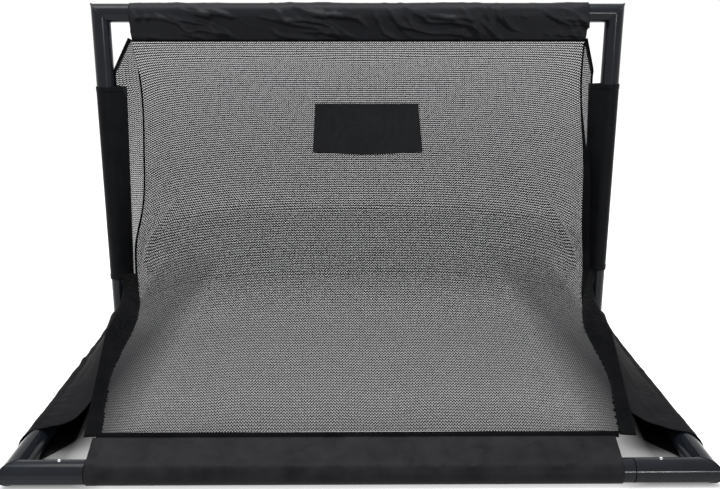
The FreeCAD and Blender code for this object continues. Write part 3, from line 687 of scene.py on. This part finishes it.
def wing_section(forward, part):
    """A point of the wing's outline, as its distance out and its height. Part runs from 0 to 4:
    0 to 1 from the inner edge over the top to the tube, 1 to 2 round the outside on one arc, 2 to
    3 in along the floor to the heel, and 3 to 4 from the heel up to the inner edge again."""
    slack = (1 - share(forward, WING_START, 0.5 * EDGE_BREAK)) ** 2
    edge_x, edge_z = inner_edge(forward)
    top_x = SIDE + 0.004 * (1 - share(forward, TUBE, 0.08)) ** 2
    top_z = LOW + TUBE + 0.0022 + 0.020 * slack
    heel_x = SIDE - HEEL_INSETS[0] - HEEL_INSETS[1] * share(forward, 0.6 * EDGE_BREAK, SEAM_FORWARD)
    rise, bulge = top_z / 2, 0.0212 + 0.0022 * share(forward, 0.3, 0.6)
    radius = (rise ** 2 + bulge ** 2) / (2 * bulge)
    centre = top_x + bulge - radius
    opening = np.arctan2(rise, top_x - centre)
    over, outside, floor, back = (np.clip(part - step, 0, 1) for step in range(4))
    turn = opening * (1 - 2 * outside)
    sag = 0.004 * np.sin(np.pi * over) * (0.4 + slack)
    x = edge_x + (top_x - edge_x) * over
    z = edge_z + EDGE_LAYER + (top_z - edge_z - EDGE_LAYER) * over - sag
    x = np.where(part > 1, centre + radius * np.cos(turn), x)
    z = np.where(part > 1, rise + radius * np.sin(turn), z)
    x = np.where(part > 2, top_x + (heel_x - top_x) * floor, x)
    z = np.where(part > 2, GROUND, z)
    x = np.where(part > 3, heel_x + (edge_x - heel_x) * back, x)
    z = np.where(part > 3, (edge_z - EDGE_LAYER) * back, z)
    return x, np.maximum(z, GROUND)


# Where each wing ends at the front: pairs of a place round the outline and a distance forward.
MOUTH = {
    "left": ((0, 0.505), (0.12, 0.535), (0.3, 0.560), (0.6, 0.568), (1, 0.560), (1.5, 0.588), (2, 0.612),
             (2.4, 0.580), (3, 0.530), (3.6, 0.505), (4, 0.500)),
    "right": ((0, 0.556), (0.12, 0.564), (0.3, 0.573), (0.6, 0.579), (1, 0.580), (1.5, 0.600), (2, 0.606),
              (2.4, 0.575), (3, 0.535), (3.6, 0.535), (4, 0.545)),
}


def blurred(points, times=3):
    """Points of a profile, drawn towards the mean of their neighbours so that folds are round."""
    for _ in range(times):
        middle = (points[:, :-2] + points[:, 1:-1] * 2 + points[:, 2:]) / 4
        points = np.concatenate([points[:, :1], middle, points[:, -1:]], axis=1)
    return points


def wing(side, sign):
    """The wing over its length: each point of the outline runs from the post to the mouth, whose
    place differs round the outline. Creases fan forward from the rear corner and lift the cloth."""
    part = np.concatenate([np.linspace(step, step + 1, count, endpoint=False)
                           for step, count in enumerate((34, 22, 16, 24))] + [[4.0]])[None, :]
    along = np.linspace(0, 1, 130)[:, None]
    mouth = np.interp(part, *zip(*MOUTH[side]))
    start = WING_START + 0.004 * np.sin(part * 1.7) ** 2
    forward = start + (mouth - start) * along
    x, z = wing_section(forward, part)
    lying = (part < 3) & (z > 0.004)
    fan = creases(forward, x + forward * 0.15, 31 + sign, 0.11, 1.35, 0.25)
    fine = creases(forward, x + z, 41 + sign, 0.035, 0.6, 0.8)
    fade = np.where(lying, np.sin(np.pi * np.clip(part / 2, 0, 1)) ** 0.5, 0)
    z = z + fade * (0.005 * fan + 0.0014 * fine) * np.clip((x - 0.3) / 0.2, 0, 1)
    points = blurred(np.stack([sign * x, REAR - forward, z], axis=-1))
    points[..., 2] = np.maximum(points[..., 2], GROUND)
    facing = points if sign < 0 else points[:, ::-1]
    piece = thicken(surface(f"{side}_rail_sleeve_cloth", facing, wing_cloth))
    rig.slot(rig.ride(piece, BODY), "sleeve_cloth")
    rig.replaces(piece, f"{side}_rail_sleeve")
    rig.sheet(piece, **cut_size(points), held="draped", rests_on=[f"{side}_rail"])


for side, sign in SIDES:
    wing(side, sign)


# ------------------------------
# Net
# One black warp-knitted polyester mesh: rows of fine zigzag yarn, linked upright between their
# peaks. It hangs in a slack curve from the top sleeve to the front sleeve. The rows are drawn as
# coarse as they need to show, up to 7.6 mm apart at the front; the real ones are about 4 mm apart.
# ------------------------------
NET_TOP = np.array([0, REAR, TOP - top_reach - 0.0010])
NET_FRONT = SEAM_FRONT + np.array([0, 0.0045, 0])
THICK_WAY = np.array([0, -1, 1]) / math.sqrt(2)
# Each side line's places from the top: the left and the right inset in units, and the shares of
# the net's depth and height.
INSET_UNIT = 0.06
SIDE_PLACES = np.array([
    (0.98, 0.98, 0.0, 1.0), (1.22, 1.06, 0.016, 0.893), (1.33, 1.05, 0.032, 0.789),
    (1.32, 0.88, 0.055, 0.597), (1.16, 0.82, 0.072, 0.388), (0.88, 0.75, 0.072, 0.275),
    (0.82, 0.68, 0.072, 0.197), (0.95, 0.80, 0.121, 0.131), (1.30, 1.12, 0.253, 0.092),
    (1.45, 1.42, 0.400, 0.070), (1.46, 1.46, 0.670, 0.036), (1.72, 1.72, 0.845, 0.014),
    (1.90, 1.90, 0.930, 0.005), (2.03, 2.03, 1.0, 0.0),
])


def net_place(out, forward, up):
    """A place from its distance out and its shares of the net's depth and height."""
    y = NET_TOP[1] + (NET_FRONT[1] - NET_TOP[1]) * forward
    z = NET_FRONT[2] + (NET_TOP[2] - NET_FRONT[2]) * up
    return np.stack([out, y, z], axis=-1)


def smooth_line(places, count=1200):
    """A natural cubic spline through places, by the distance between them, as evenly spaced points."""
    at = np.r_[0, np.cumsum(np.linalg.norm(np.diff(places, axis=0), axis=1))]
    step = np.diff(at)
    matrix = np.eye(len(at))
    right = np.zeros_like(places)
    inner = np.arange(1, len(at) - 1)
    matrix[inner, inner - 1] = step[:-1]
    matrix[inner, inner] = 2 * (step[:-1] + step[1:])
    matrix[inner, inner + 1] = step[1:]
    slope = np.diff(places, axis=0) / step[:, None]
    right[1:-1] = 6 * np.diff(slope, axis=0)
    bend = np.linalg.solve(matrix, right)
    want = np.linspace(0, at[-1], count * 3)
    piece = np.clip(np.searchsorted(at, want, side="right") - 1, 0, len(step) - 1)
    a, b, h = (at[piece + 1] - want)[:, None], (want - at[piece])[:, None], step[piece][:, None]
    first, second = bend[piece], bend[piece + 1]
    points = (first * a ** 3 + second * b ** 3) / (6 * h)
    points += (places[piece] / h - first * h / 6) * a + (places[piece + 1] / h - second * h / 6) * b
    length = np.r_[0, np.cumsum(np.linalg.norm(np.diff(points, axis=0), axis=1))]
    even = np.linspace(0, length[-1], count)
    return np.stack([np.interp(even, length, points[:, axis]) for axis in range(3)], axis=1), length[-1]


step = np.linspace(0, 1, 400)[:, None]
poles = net_place(np.zeros(4), np.array([0, 0, 0.322, 1]), np.array([1, 0.354, 0.153, 0]))
bezier = ((1 - step) ** 3 * poles[0] + 3 * (1 - step) ** 2 * step * poles[1]
          + 3 * (1 - step) * step ** 2 * poles[2] + step ** 3 * poles[3])
middle_line, NET_LENGTH = smooth_line(bezier[::12])
left_inset, right_inset, side_depth, side_height = SIDE_PLACES.T
left_line, SIDE_LENGTH = smooth_line(net_place(INSET_UNIT * left_inset - SIDE, side_depth, side_height))
right_line, _ = smooth_line(net_place(SIDE - INSET_UNIT * right_inset, side_depth, side_height))
side_lines = {-1: left_line, 1: right_line}
# How much wider the net bellies than its side lines, and where soft breaks cross it.
SPREAD = 0.12
BREAKS = (0.037, 0.379, 0.548)
BREAK_WIDTH = 0.006
BREAK_DEPTH = 0.0028
# How high the folds, the shallow creases and the upright ones stand.
FOLD_LIFT = 0.019
SHALLOW_LIFT = 0.003
UPRIGHT_LIFT = 0.010


def along_line(line, down):
    """Points at shares of a line's length."""
    place = np.linspace(0, 1, len(line))
    return np.stack([np.interp(down, place, line[:, axis]) for axis in range(3)], axis=-1)


def net_surface(across, down):
    """The net: across runs from -1 to 1, down from 0 at the top to 1 at the front. The width
    follows the middle line and draws off to the side lines with the cube of the distance. Folds
    slant to each lower rear corner, soft breaks cross the net, and shallow creases lie on it."""
    middle = along_line(middle_line, down)
    edge = np.where((across < 0)[..., None], along_line(left_line, down), along_line(right_line, down))
    pull = (np.abs(across) ** 3)[..., None]
    points = middle + (edge - middle) * pull
    wide = np.abs(across)
    belly = 1 + SPREAD * share(down, 0.15, 0.4) * (1 - wide ** 4)
    points[..., 0] = np.abs(edge[..., 0]) * across * belly
    fold = np.exp(-(((wide - (0.93 - 1.1 * np.abs(down - 0.46))) / 0.024) ** 2))
    fade = np.sin(np.pi * share(down, 0.26, 0.66)) ** 2 * (1 - wide ** 8)
    slack = creases(points[..., 0], down * NET_LENGTH, 51, 0.24, 0.9, 1.3, 1.2)
    upright = creases(points[..., 0], down * NET_LENGTH, 53, 0.11, 0.1, 0.2, 2.0) * share(wide, 0.5, 0.95)
    breaks = 0
    for place in BREAKS:
        away = down - place - BREAK_WIDTH * np.sin(9 * across + place * 40)
        breaks = breaks + np.exp(-((away / BREAK_WIDTH) ** 2))
    edge_fade = np.sin(np.pi * down) * (1 - wide ** 8)
    shallow = SHALLOW_LIFT * slack + UPRIGHT_LIFT * upright * (1 - share(down, 0.5, 0.8))
    lift = FOLD_LIFT * fold * fade + shallow * edge_fade
    return points + THICK_WAY * (lift - BREAK_DEPTH * breaks * (1 - wide ** 4))[..., None]


def knit_yarn():
    """Black textured polyester yarn, knitted: matt and hairy, with a little grey in its crests."""
    material, tree, shader = finish(
        "black_knitted_polyester", Roughness=0.75, Specular_IOR_Level=0.2, Sheen_Weight=0.1
    )
    lint = noise(tree, 0.003, 2.0)
    feed(tree, shader, Base_Color=mixed(tree, lint, "#141517", "#242528"))
    return material


yarn = knit_yarn()
# The rows' spacing at the top and at the front, and the number of columns.
ROW_TOP = 0.0042
ROW_FRONT = 0.0076
NET_COLUMNS = 196
# Where a link starts and ends, as a share of half the yarn's width from its row's middle.
LINK_LAP = 0.6


def row_places(length, first, last):
    """Shares of a length where the rows lie: their spacing grows smoothly on the way to the front."""
    at = np.linspace(0, 1, 2000)
    grow = share(at, 0.1, 0.76)
    spacing = first + (last - first) * grow ** 2 * (3 - 2 * grow)
    rows = np.r_[0, np.cumsum(length / (len(at) - 1) / spacing[1:])]
    count = int(rows[-1])
    return np.interp(np.arange(count + 1) * rows[-1] / count, rows, at)


def lattice(name, place, rows, columns, yarn_share, link_share, zigzag):
    """A knitted mesh as flat ribbons. Place turns two parameters, 0 to 1 across and a row's own
    share down, into points. Each row is a zigzag, up and down by a part of its spacing, and wide by
    the yarn's share of it. Links join neighbouring rows at every upper peak. The yarn's share, the
    links' and the zigzag's are functions of the share down."""
    spacing = np.gradient(rows)
    half = columns * 2
    across = np.linspace(0, 1, half + 1)
    wave = np.where(np.arange(half + 1) % 2 == 0, -1.0, 1.0)
    centre = rows[:, None] + wave[None, :] * (zigzag(rows) / 2 * spacing)[:, None]
    thick = yarn_share(rows) * spacing / 2
    everywhere = np.broadcast_to(across, centre.shape)
    low = place(everywhere, centre - thick[:, None])
    high = place(everywhere, centre + thick[:, None])
    count = len(rows)
    points = np.concatenate([low.reshape(-1, 3), high.reshape(-1, 3)])
    number = np.arange(count * (half + 1)).reshape(count, half + 1)
    other = number + number.size
    ribbons = np.stack([number[:, :-1], number[:, 1:], other[:, 1:], other[:, :-1]], axis=-1)
    ribbons = ribbons.reshape(-1, 4)
    row, column = np.meshgrid(np.arange(count - 1), np.arange(half + 1), indexing="ij")
    linked = (column % 2 == 0) & (column > 0) & (column < half)
    row, column = row[linked], column[linked]
    width = link_share(rows)[row] / half
    start = centre[row, column] + thick[row] * LINK_LAP
    end = centre[row + 1, column] - thick[row + 1] * LINK_LAP
    left, right = across[column] - width, across[column] + width
    corners = [place(left, start), place(right, start), place(right, end), place(left, end)]
    first = len(points)
    points = np.concatenate([points, np.stack(corners, axis=1).reshape(-1, 3)])
    links = first + np.arange(len(row) * 4).reshape(-1, 4)
    mesh = bpy.data.meshes.new(name)
    mesh.from_pydata(points.tolist(), [], np.concatenate([ribbons, links]).tolist())
    mesh.materials.append(yarn)
    piece = added(name, mesh)
    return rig.slot(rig.ride(piece, BODY), "net_knit")


def net_yarn_share(down):
    """How much of its row's spacing the yarn fills: more where the net bends at its foot."""
    return np.interp(
        down,
        [0.0, 0.09, 0.25, 0.36, 0.39, 0.54, 0.57, 0.66, 0.78, 0.9, 0.96, 1.0],
        [0.76, 0.80, 0.86, 0.88, 0.91, 0.92, 0.90, 0.84, 0.75, 0.73, 0.76, 0.80],
    )


net_rows = row_places(NET_LENGTH, ROW_TOP, ROW_FRONT)
net_half = len(net_rows) * 3 // 5


def net_flat(rows):
    """The cut of one part of the net, measured on its surface."""
    down, across = np.meshgrid(
        np.linspace(rows[0], rows[-1], 80), np.linspace(-1, 1, 80), indexing="ij"
    )
    return cut_size(net_surface(across, down))


def on_net(across, down):
    """The place of the knit: its rows droop towards both sides, most beside the posts, and wave
    a little at the front."""
    across = across * 2 - 1
    aside = 1 - np.abs(across)
    droop = 0.02 * np.exp(-aside / 0.07) * share(down, 0, 0.1) * (1 - share(down, 0.35, 0.6))
    droop = droop + 0.022 * np.exp(-aside / 0.25) * share(down, 0.45, 0.62) * share(down, 1, 0.78)
    wave = 0.0035 * np.sin(14 * across + 0.6) * np.sin(5.3 * across + 1)
    wave = wave * share(down, 0.6, 0.9) * share(down, 1, 0.96)
    return net_surface(across, down + droop + wave)


def net_link_share(down):
    """How much of its column a link fills: they are thinner at the front."""
    return 0.12 - 0.05 * share(down, 0.3, 0.6)


def net_zigzag(down):
    """How far a row swings up and down, in its spacings: further at the front, where it's slack."""
    return 0.6 + 0.25 * share(down, 0.4, 0.7)


knitted = (NET_COLUMNS, net_yarn_share, net_link_share, net_zigzag)
net_upper = lattice("net_upper", on_net, net_rows[:net_half], *knitted)
net_lower = lattice("net_lower", on_net, net_rows[net_half - 1:], *knitted)
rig.replaces(net_upper, "net_panel")
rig.sheet(net_upper, **net_flat(net_rows[:net_half]), held="hung", rests_on=["top_sleeve_cloth"])
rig.sheet(net_lower, **net_flat(net_rows[net_half - 1:]), held="hung", rests_on=["front_sleeve_cloth"])


# ------------------------------
# Side gussets, rail bindings and seams
# Narrow strips of the same knit fill the gap to the post sleeves. Below, a doubled black binding
# joins the net to the rail sleeve. Every join is covered with a folded tape, sewn through.
# ------------------------------
binding_tape = woven_polyester(
    "folded_polyester_tape", "#0c0d0e", "#151517", gloss=0.01, sheen=0.006, weave=0.0012
)
# Shares of the side lines: where the gussets end, how much they stop short, and where the
# bindings start.
CORNER_SHARE = 0.47
END_SHARE = 0.004
GUSSET_COLUMNS = 7
BINDING_START = {"left": 0.46, "right": 0.44}
BINDING_LAP = 0.0025
BINDING_THICKNESS = 0.0016


def mirrored(points, sign):
    """The points on one side: right as they are, left with their distance out turned round."""
    return points * np.array([sign, 1, 1])


def post_flap_tip(height):
    """How far out the inner edge of a post sleeve lies at a height."""
    low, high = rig.box("left_post_sleeve")
    return SIDE - (FLAP_REACH[0] + (FLAP_REACH[1] - FLAP_REACH[0]) * share(height, low.z, high.z))


strip_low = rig.box("right_corner_strip")[0]
post_sleeve_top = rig.box("right_post_sleeve")[1].z
# A corner strip leans out by its reach on the way down to its knee, and hangs straight below it.
STRIP_KNEE = 0.580
STRIP_REACH = {-1: 0.036, 1: 0.018}


def gusset_edge(height, sign):
    """How far out a gusset reaches at a height: along the corner strip down to its foot, and
    below it just behind the edge of the post sleeve."""
    strip = strip_low.x - 0.002 + STRIP_REACH[sign] * share(height, TOP - top_reach, STRIP_KNEE)
    hidden = share(height, post_sleeve_top - 0.003, post_sleeve_top - 0.03)
    return strip + (post_flap_tip(height) + 0.001 - strip) * hidden


def gusset_place(sign):
    """The gusset as a ruled sheet, from the net's side line out to the strip and the post sleeve.
    Its rows fall towards the post."""
    def place(across, down):
        inner = mirrored(along_line(side_lines[sign], down), sign)
        height = inner[..., 2] - 0.009 * share(down, 0.02, 0.1)
        out = np.maximum(gusset_edge(height, sign), inner[..., 0] + 0.0024)
        outer = np.stack([out, 0 * out + REAR - 0.0016, height], axis=-1)
        return mirrored(inner + (outer - inner) * across[..., None] + THICK_WAY * 0.001, sign)
    return place


TAPE_POINTS = 12
SEAM_THICKNESS = 0.0028
SIDE_SEAM_THICKNESS = 0.0016


def tape(name, line, width, thickness, way):
    """A folded tape along a line: a flat rounded outline, as wide and thick as given, with its
    width across the line and its thickness along a given way. The width may change on the way."""
    run = np.gradient(line, axis=0)
    run /= np.linalg.norm(run, axis=1)[:, None]
    way = np.broadcast_to(np.array(way, float), line.shape)
    side = np.cross(run, way)
    side /= np.linalg.norm(side, axis=1)[:, None]
    up = np.cross(side, run)
    turn = np.linspace(0, 2 * np.pi, TAPE_POINTS, endpoint=False)[None, :, None]
    flat_cos = np.sign(np.cos(turn)) * np.abs(np.cos(turn)) ** 0.6
    width = np.broadcast_to(width, len(line))[:, None, None]
    points = line[:, None] + side[:, None] * flat_cos * width / 2
    points = points - up[:, None] * np.sin(turn) * thickness / 2
    ends = [np.repeat(points[at].mean(axis=0)[None, None], TAPE_POINTS, axis=1) for at in (0, -1)]
    points = np.concatenate([ends[0], points, ends[1]], axis=0)
    piece = surface(name, points, binding_tape, wrap=True)
    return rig.slot(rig.ride(piece, BODY), "binding_tape")


def binding_sheet(side, sign):
    """The binding as a ruled sheet from just over the net's side line to just over the wing's
    inner edge, with tight creases across it, deepest at the rear, where it is gathered."""
    part = np.linspace(0, 1, 170)[:, None]
    across = np.linspace(0, 1, 18)[None, :]
    start = BINDING_START[side]
    down = start + (1 - start) * part[:, 0]
    inner = mirrored(along_line(side_lines[sign], down), sign) - np.array([BINDING_LAP, 0, 0])
    forward = 0.003 + (SEAM_FORWARD - 0.003) * part[:, 0] ** 1.15
    edge_x, edge_z = inner_edge(forward)
    gathered = (1 - share(part[:, 0], 0, 0.25)) ** 2
    forward = np.maximum(forward, TUBE + 0.005)
    outer_x = edge_x + 0.003 + 0.012 * gathered
    outer_z = edge_z + 0.0008 + 0.036 * gathered
    outer = np.stack([outer_x, REAR - forward, outer_z], axis=-1)
    points = inner[:, None] + (outer - inner)[:, None] * across[..., None]
    run = part * SIDE_LENGTH * 0.53
    gather = creases(run, across * 0.035, 61 + sign, 0.026, 0.35, 0.5, 2.0, 7)
    lift = 0.0062 * np.clip(gather, -0.15, 1) * np.sin(np.pi * across) ** 0.7 * (1.5 - part)
    jagged = (0.0095 - 0.004 * part) * creases(run, 0 * across, 65 + sign, 0.03, 0.0, 0.1, 2.0, 5)
    points = mirrored(points + THICK_WAY * (0.0016 + lift)[..., None], sign)
    points[..., 0] -= sign * jagged * (1 - across) ** 2
    facing = points if sign > 0 else points[:, ::-1]
    piece = thicken(surface(f"{side}_rail_binding_cloth", facing, binding_tape), BINDING_THICKNESS, 0)
    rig.slot(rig.ride(piece, BODY), "binding_tape")
    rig.replaces(piece, f"{side}_rail_binding")
    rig.sheet(piece, **cut_size(points), held="gathered", rests_on=["net_lower"])


gusset_rows = row_places(SIDE_LENGTH * CORNER_SHARE, ROW_TOP, ROW_TOP)
gusset_rows = gusset_rows * (CORNER_SHARE - 2 * END_SHARE) + END_SHARE
seam_down = np.linspace(0.005, 0.995, 260)


def gusset_yarn_share(down):
    """How much of its row's spacing the gusset's yarn fills."""
    return 0.80 + 0 * down


# Each side seam's width: the shares down its line, and the widths there.
SEAM_WIDTHS = {
    "left": ([0, 0.055, 0.07, 0.3, 0.46, 0.5, 1], [0.001, 0.001, 0.004, 0.004, 0.005, 0.003, 0.003]),
    "right": ([0, 0.12, 0.2, 0.26, 0.46, 0.54, 1], [0.004, 0.004, 0.008, 0.016, 0.015, 0.004, 0.003]),
}
for side, sign in SIDES:
    place = gusset_place(sign)
    knit = lattice(
        f"{side}_gusset_knit",
        place,
        gusset_rows,
        GUSSET_COLUMNS,
        gusset_yarn_share,
        net_link_share,
        net_zigzag,
    )
    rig.replaces(knit, f"{side}_gusset")
    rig.sheet(knit, flat=(0.022, SIDE_LENGTH * CORNER_SHARE), held="hung", rests_on=["top_sleeve_cloth"])
    binding_sheet(side, sign)
    seam_width = np.interp(seam_down, *SEAM_WIDTHS[side])
    seam_line = along_line(side_lines[sign], seam_down) + THICK_WAY * 0.0024
    seam_line[:, 0] += sign * np.clip(seam_width - 0.006, 0, None) / 2
    tape(f"{side}_side_seam", seam_line, seam_width, SIDE_SEAM_THICKNESS, THICK_WAY)
    part = np.linspace(0, 1, 60)
    out = strip_low.x + STRIP_REACH[sign] * share(part, 0, 0.68)
    height = TOP - top_reach + 0.004 + (post_sleeve_top - 0.012 - TOP + top_reach) * part
    corner_line = mirrored(np.stack([out, REAR - 0.0012 + 0 * part, height], axis=-1), sign)
    strip_width = 0.0085 - 0.0035 * share(part, 0.6, 0.75)
    strip = tape(f"{side}_corner_tape", corner_line, strip_width, 0.0026, (0, -1, 0))
    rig.replaces(strip, f"{side}_corner_strip")


def straight_seam(name, beyond, y, z):
    """The line of a straight seam along X, a little beyond both ends of its CAD solid."""
    low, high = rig.box(name)
    along = np.linspace(low.x - beyond, high.x + beyond, 200)
    return np.stack([along, np.full(200, y), np.full(200, z)], axis=-1)


line = straight_seam("top_seam", 0.008, REAR - 0.0020, TOP - top_reach - 0.0004)
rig.replaces(tape("top_seam_tape", line, 0.0046, SEAM_THICKNESS, (0, -1, 0)), "top_seam")
line = straight_seam("front_seam", 0.006, SEAM_FRONT[1] + 0.0028, SEAM_FRONT[2] + 0.0017)
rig.replaces(tape("front_seam_tape", line, 0.0104, SEAM_THICKNESS, THICK_WAY), "front_seam")


# ------------------------------
# Target patch
# A plain black cloth, hemmed and sewn onto the front of the net high in its middle. The net pulls
# it a little, so it bellies, and its lower edge dips.
# ------------------------------
patch_cloth = woven_polyester("satin_woven_polyester", "#101113", "#18191b")
PATCH_WIDTH = 0.222
PATCH_HEIGHT = 0.102
# How far down the net its upper edge lies, and how far to the right its middle.
PATCH_DROP = 0.131
PATCH_CENTRE = 0.016
patch_across = np.linspace(-0.5, 0.5, 90)[None, :]
patch_down = np.linspace(0, 1, 44)[:, None]
half_width_there = along_line(right_line, np.array([PATCH_DROP / NET_LENGTH]))[0, 0]
dip = 0.005 * (1 - (2 * patch_across) ** 2) * patch_down
place_down = (PATCH_DROP + PATCH_HEIGHT * patch_down + dip) / NET_LENGTH
place_across = (PATCH_CENTRE + PATCH_WIDTH * patch_across) / half_width_there + 0 * place_down
from_sides = 0.5 - np.abs(patch_across) + 0 * patch_down
from_ends = np.minimum(patch_down, 1 - patch_down) * 0.5
edge_near = np.minimum(from_sides, from_ends)
puckers = creases(
    patch_across * PATCH_WIDTH + 0 * patch_down, patch_down * PATCH_HEIGHT, 71, 0.05, 0.7, 0.8
)
belly = 0.0028 * np.clip(edge_near * 8, 0, 1) * (0.6 + puckers)
patch_points = net_surface(place_across, place_down) + THICK_WAY * (0.0035 + belly)[..., None]
patch = thicken(surface("target_patch_cloth", patch_points, patch_cloth), CLOTH, 1)
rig.slot(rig.ride(patch, BODY), "patch_cloth")
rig.replaces(patch, "target_patch")
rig.sheet(patch, flat=(PATCH_WIDTH, PATCH_HEIGHT), held="stretched", rests_on=["net_upper"])


# ------------------------------
# Floor, lights and camera
# A pale floor runs out of sight. The world is white to the eye and in reflections, and the floor
# keeps the shadow. The floor's glow, seen by the eye, whitens it outside the frame, and painted shade
# darkens it beside the rails. A wide lamp above, a low one to the right and an even sky light the net.
# ------------------------------
def seen_directly(tree):
    """1 for rays that come from the eye, from gloss or through glass, and 0 for all others."""
    rays = node(tree, "ShaderNodeLightPath").outputs
    first = maths(tree, "MAXIMUM", rays["Is Camera Ray"], rays["Is Glossy Ray"])
    return maths(tree, "MAXIMUM", first, rays["Is Transmission Ray"])


FLOOR_REACH = 40.0
reach = np.array([-FLOOR_REACH, FLOOR_REACH])
x, y = np.meshgrid(reach, reach)
floor_material, tree, shader = finish("studio_floor_with_painted_shade", Roughness=0.9, Specular_IOR_Level=0.0)
direct = seen_directly(tree)
centre = node(tree, "ShaderNodeTexCoord").outputs["Object"]
place = node(tree, "ShaderNodeSeparateXYZ", {"Vector": centre}).outputs
aside = maths(tree, "ABSOLUTE", place["X"])
ahead = maths(tree, "MULTIPLY", place["Y"], -1.0)
# The floor is brightest outside the frame, where it glows white, and painted shade makes it darker
# beside the rails, where the sleeves would shade it, than under the net's middle.
outside = 0.0
for number, start, end in (
    (aside, SIDE - 0.01, SIDE + 0.03),
    (ahead, -FRONT - 0.01, -FRONT + 0.03),
    (place["Y"], 0.1, 1.1),
):
    outside = maths(tree, "MAXIMUM", outside, remapped(tree, number, start, end))
unshaded_floor = maths(tree, "SUBTRACT", 1.0, remapped(tree, aside, SIDE - 0.14, SIDE - 0.05))
light = maths(tree, "MAXIMUM", outside, unshaded_floor)
# Painted shade: beside the rails, inside the frame, the colour seen by the eye falls from #f2f2f2 to #8a8a8a.
paint = mixed(tree, direct, "#a8a8a8", mixed(tree, light, "#8a8a8a", "#f2f2f2"))
feed(tree, shader, Base_Color=paint)
# Painted light: the floor glows for the eye, 0.6 outside the frame and 0.45 inside, and not at all in the painted
# shade beside the rails.
lit = maths(tree, "MULTIPLY", light, remapped(tree, outside, 0, 1, 0.45, 0.6))
seen = maths(tree, "MULTIPLY", direct, lit)
glow = node(tree, "ShaderNodeEmission", {"Color": (1, 1, 1, 1), "Strength": seen})
both = node(tree, "ShaderNodeAddShader", {0: shader.outputs["BSDF"], 1: glow.outputs["Emission"]})
tree.links.new(both.outputs["Shader"], tree.nodes["Material Output"].inputs["Surface"])
floor = surface("studio_floor", np.stack([x, y, 0 * x], axis=-1), floor_material)
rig.stage(floor)

world = bpy.data.worlds.new("studio_sky")
bpy.context.scene.world = world
world.use_nodes = True
tree = world.node_tree
sky = tree.nodes["Background"]
sky.inputs["Color"].default_value = (1, 1, 1, 1)
feed(tree, sky, Strength=remapped(tree, seen_directly(tree), 0, 1, 0.55, 1.0))


def softbox(name, place, turn, size, energy):
    """A plain rectangular lamp, which shines down its own -Z once turned by degrees about X and Z."""
    lamp = bpy.data.lights.new(name, "AREA")
    lamp.shape = "RECTANGLE"
    lamp.size, lamp.size_y = size
    lamp.energy = energy
    holder = added(name, lamp)
    holder.location = place
    holder.rotation_euler = (math.radians(turn[0]), 0, math.radians(turn[1]))


softbox("wide_softbox", (-0.3, -0.2, 3.0), (4, -8), (2.6, 1.6), 70)
softbox("low_window", (1.87, -4.6, 0.88), (90, 22), (0.62, 0.22), 36)

camera = bpy.data.cameras.new("camera")
camera.lens = 43.9
camera.sensor_width = 36
eye = added("camera", camera)
eye.location = (-0.0108, -1.5444, 0.7065)
eye.rotation_euler = (math.pi / 2 - 0.2635, 0, -0.0078)
bpy.context.scene.camera = eye
bpy.context.scene.view_settings.view_transform = "Standard"

with open("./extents.json", "w") as file:
    json.dump({"cad": [list(corner) for corner in cad_box], "visual": [list(corner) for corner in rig.bounds()]}, file)
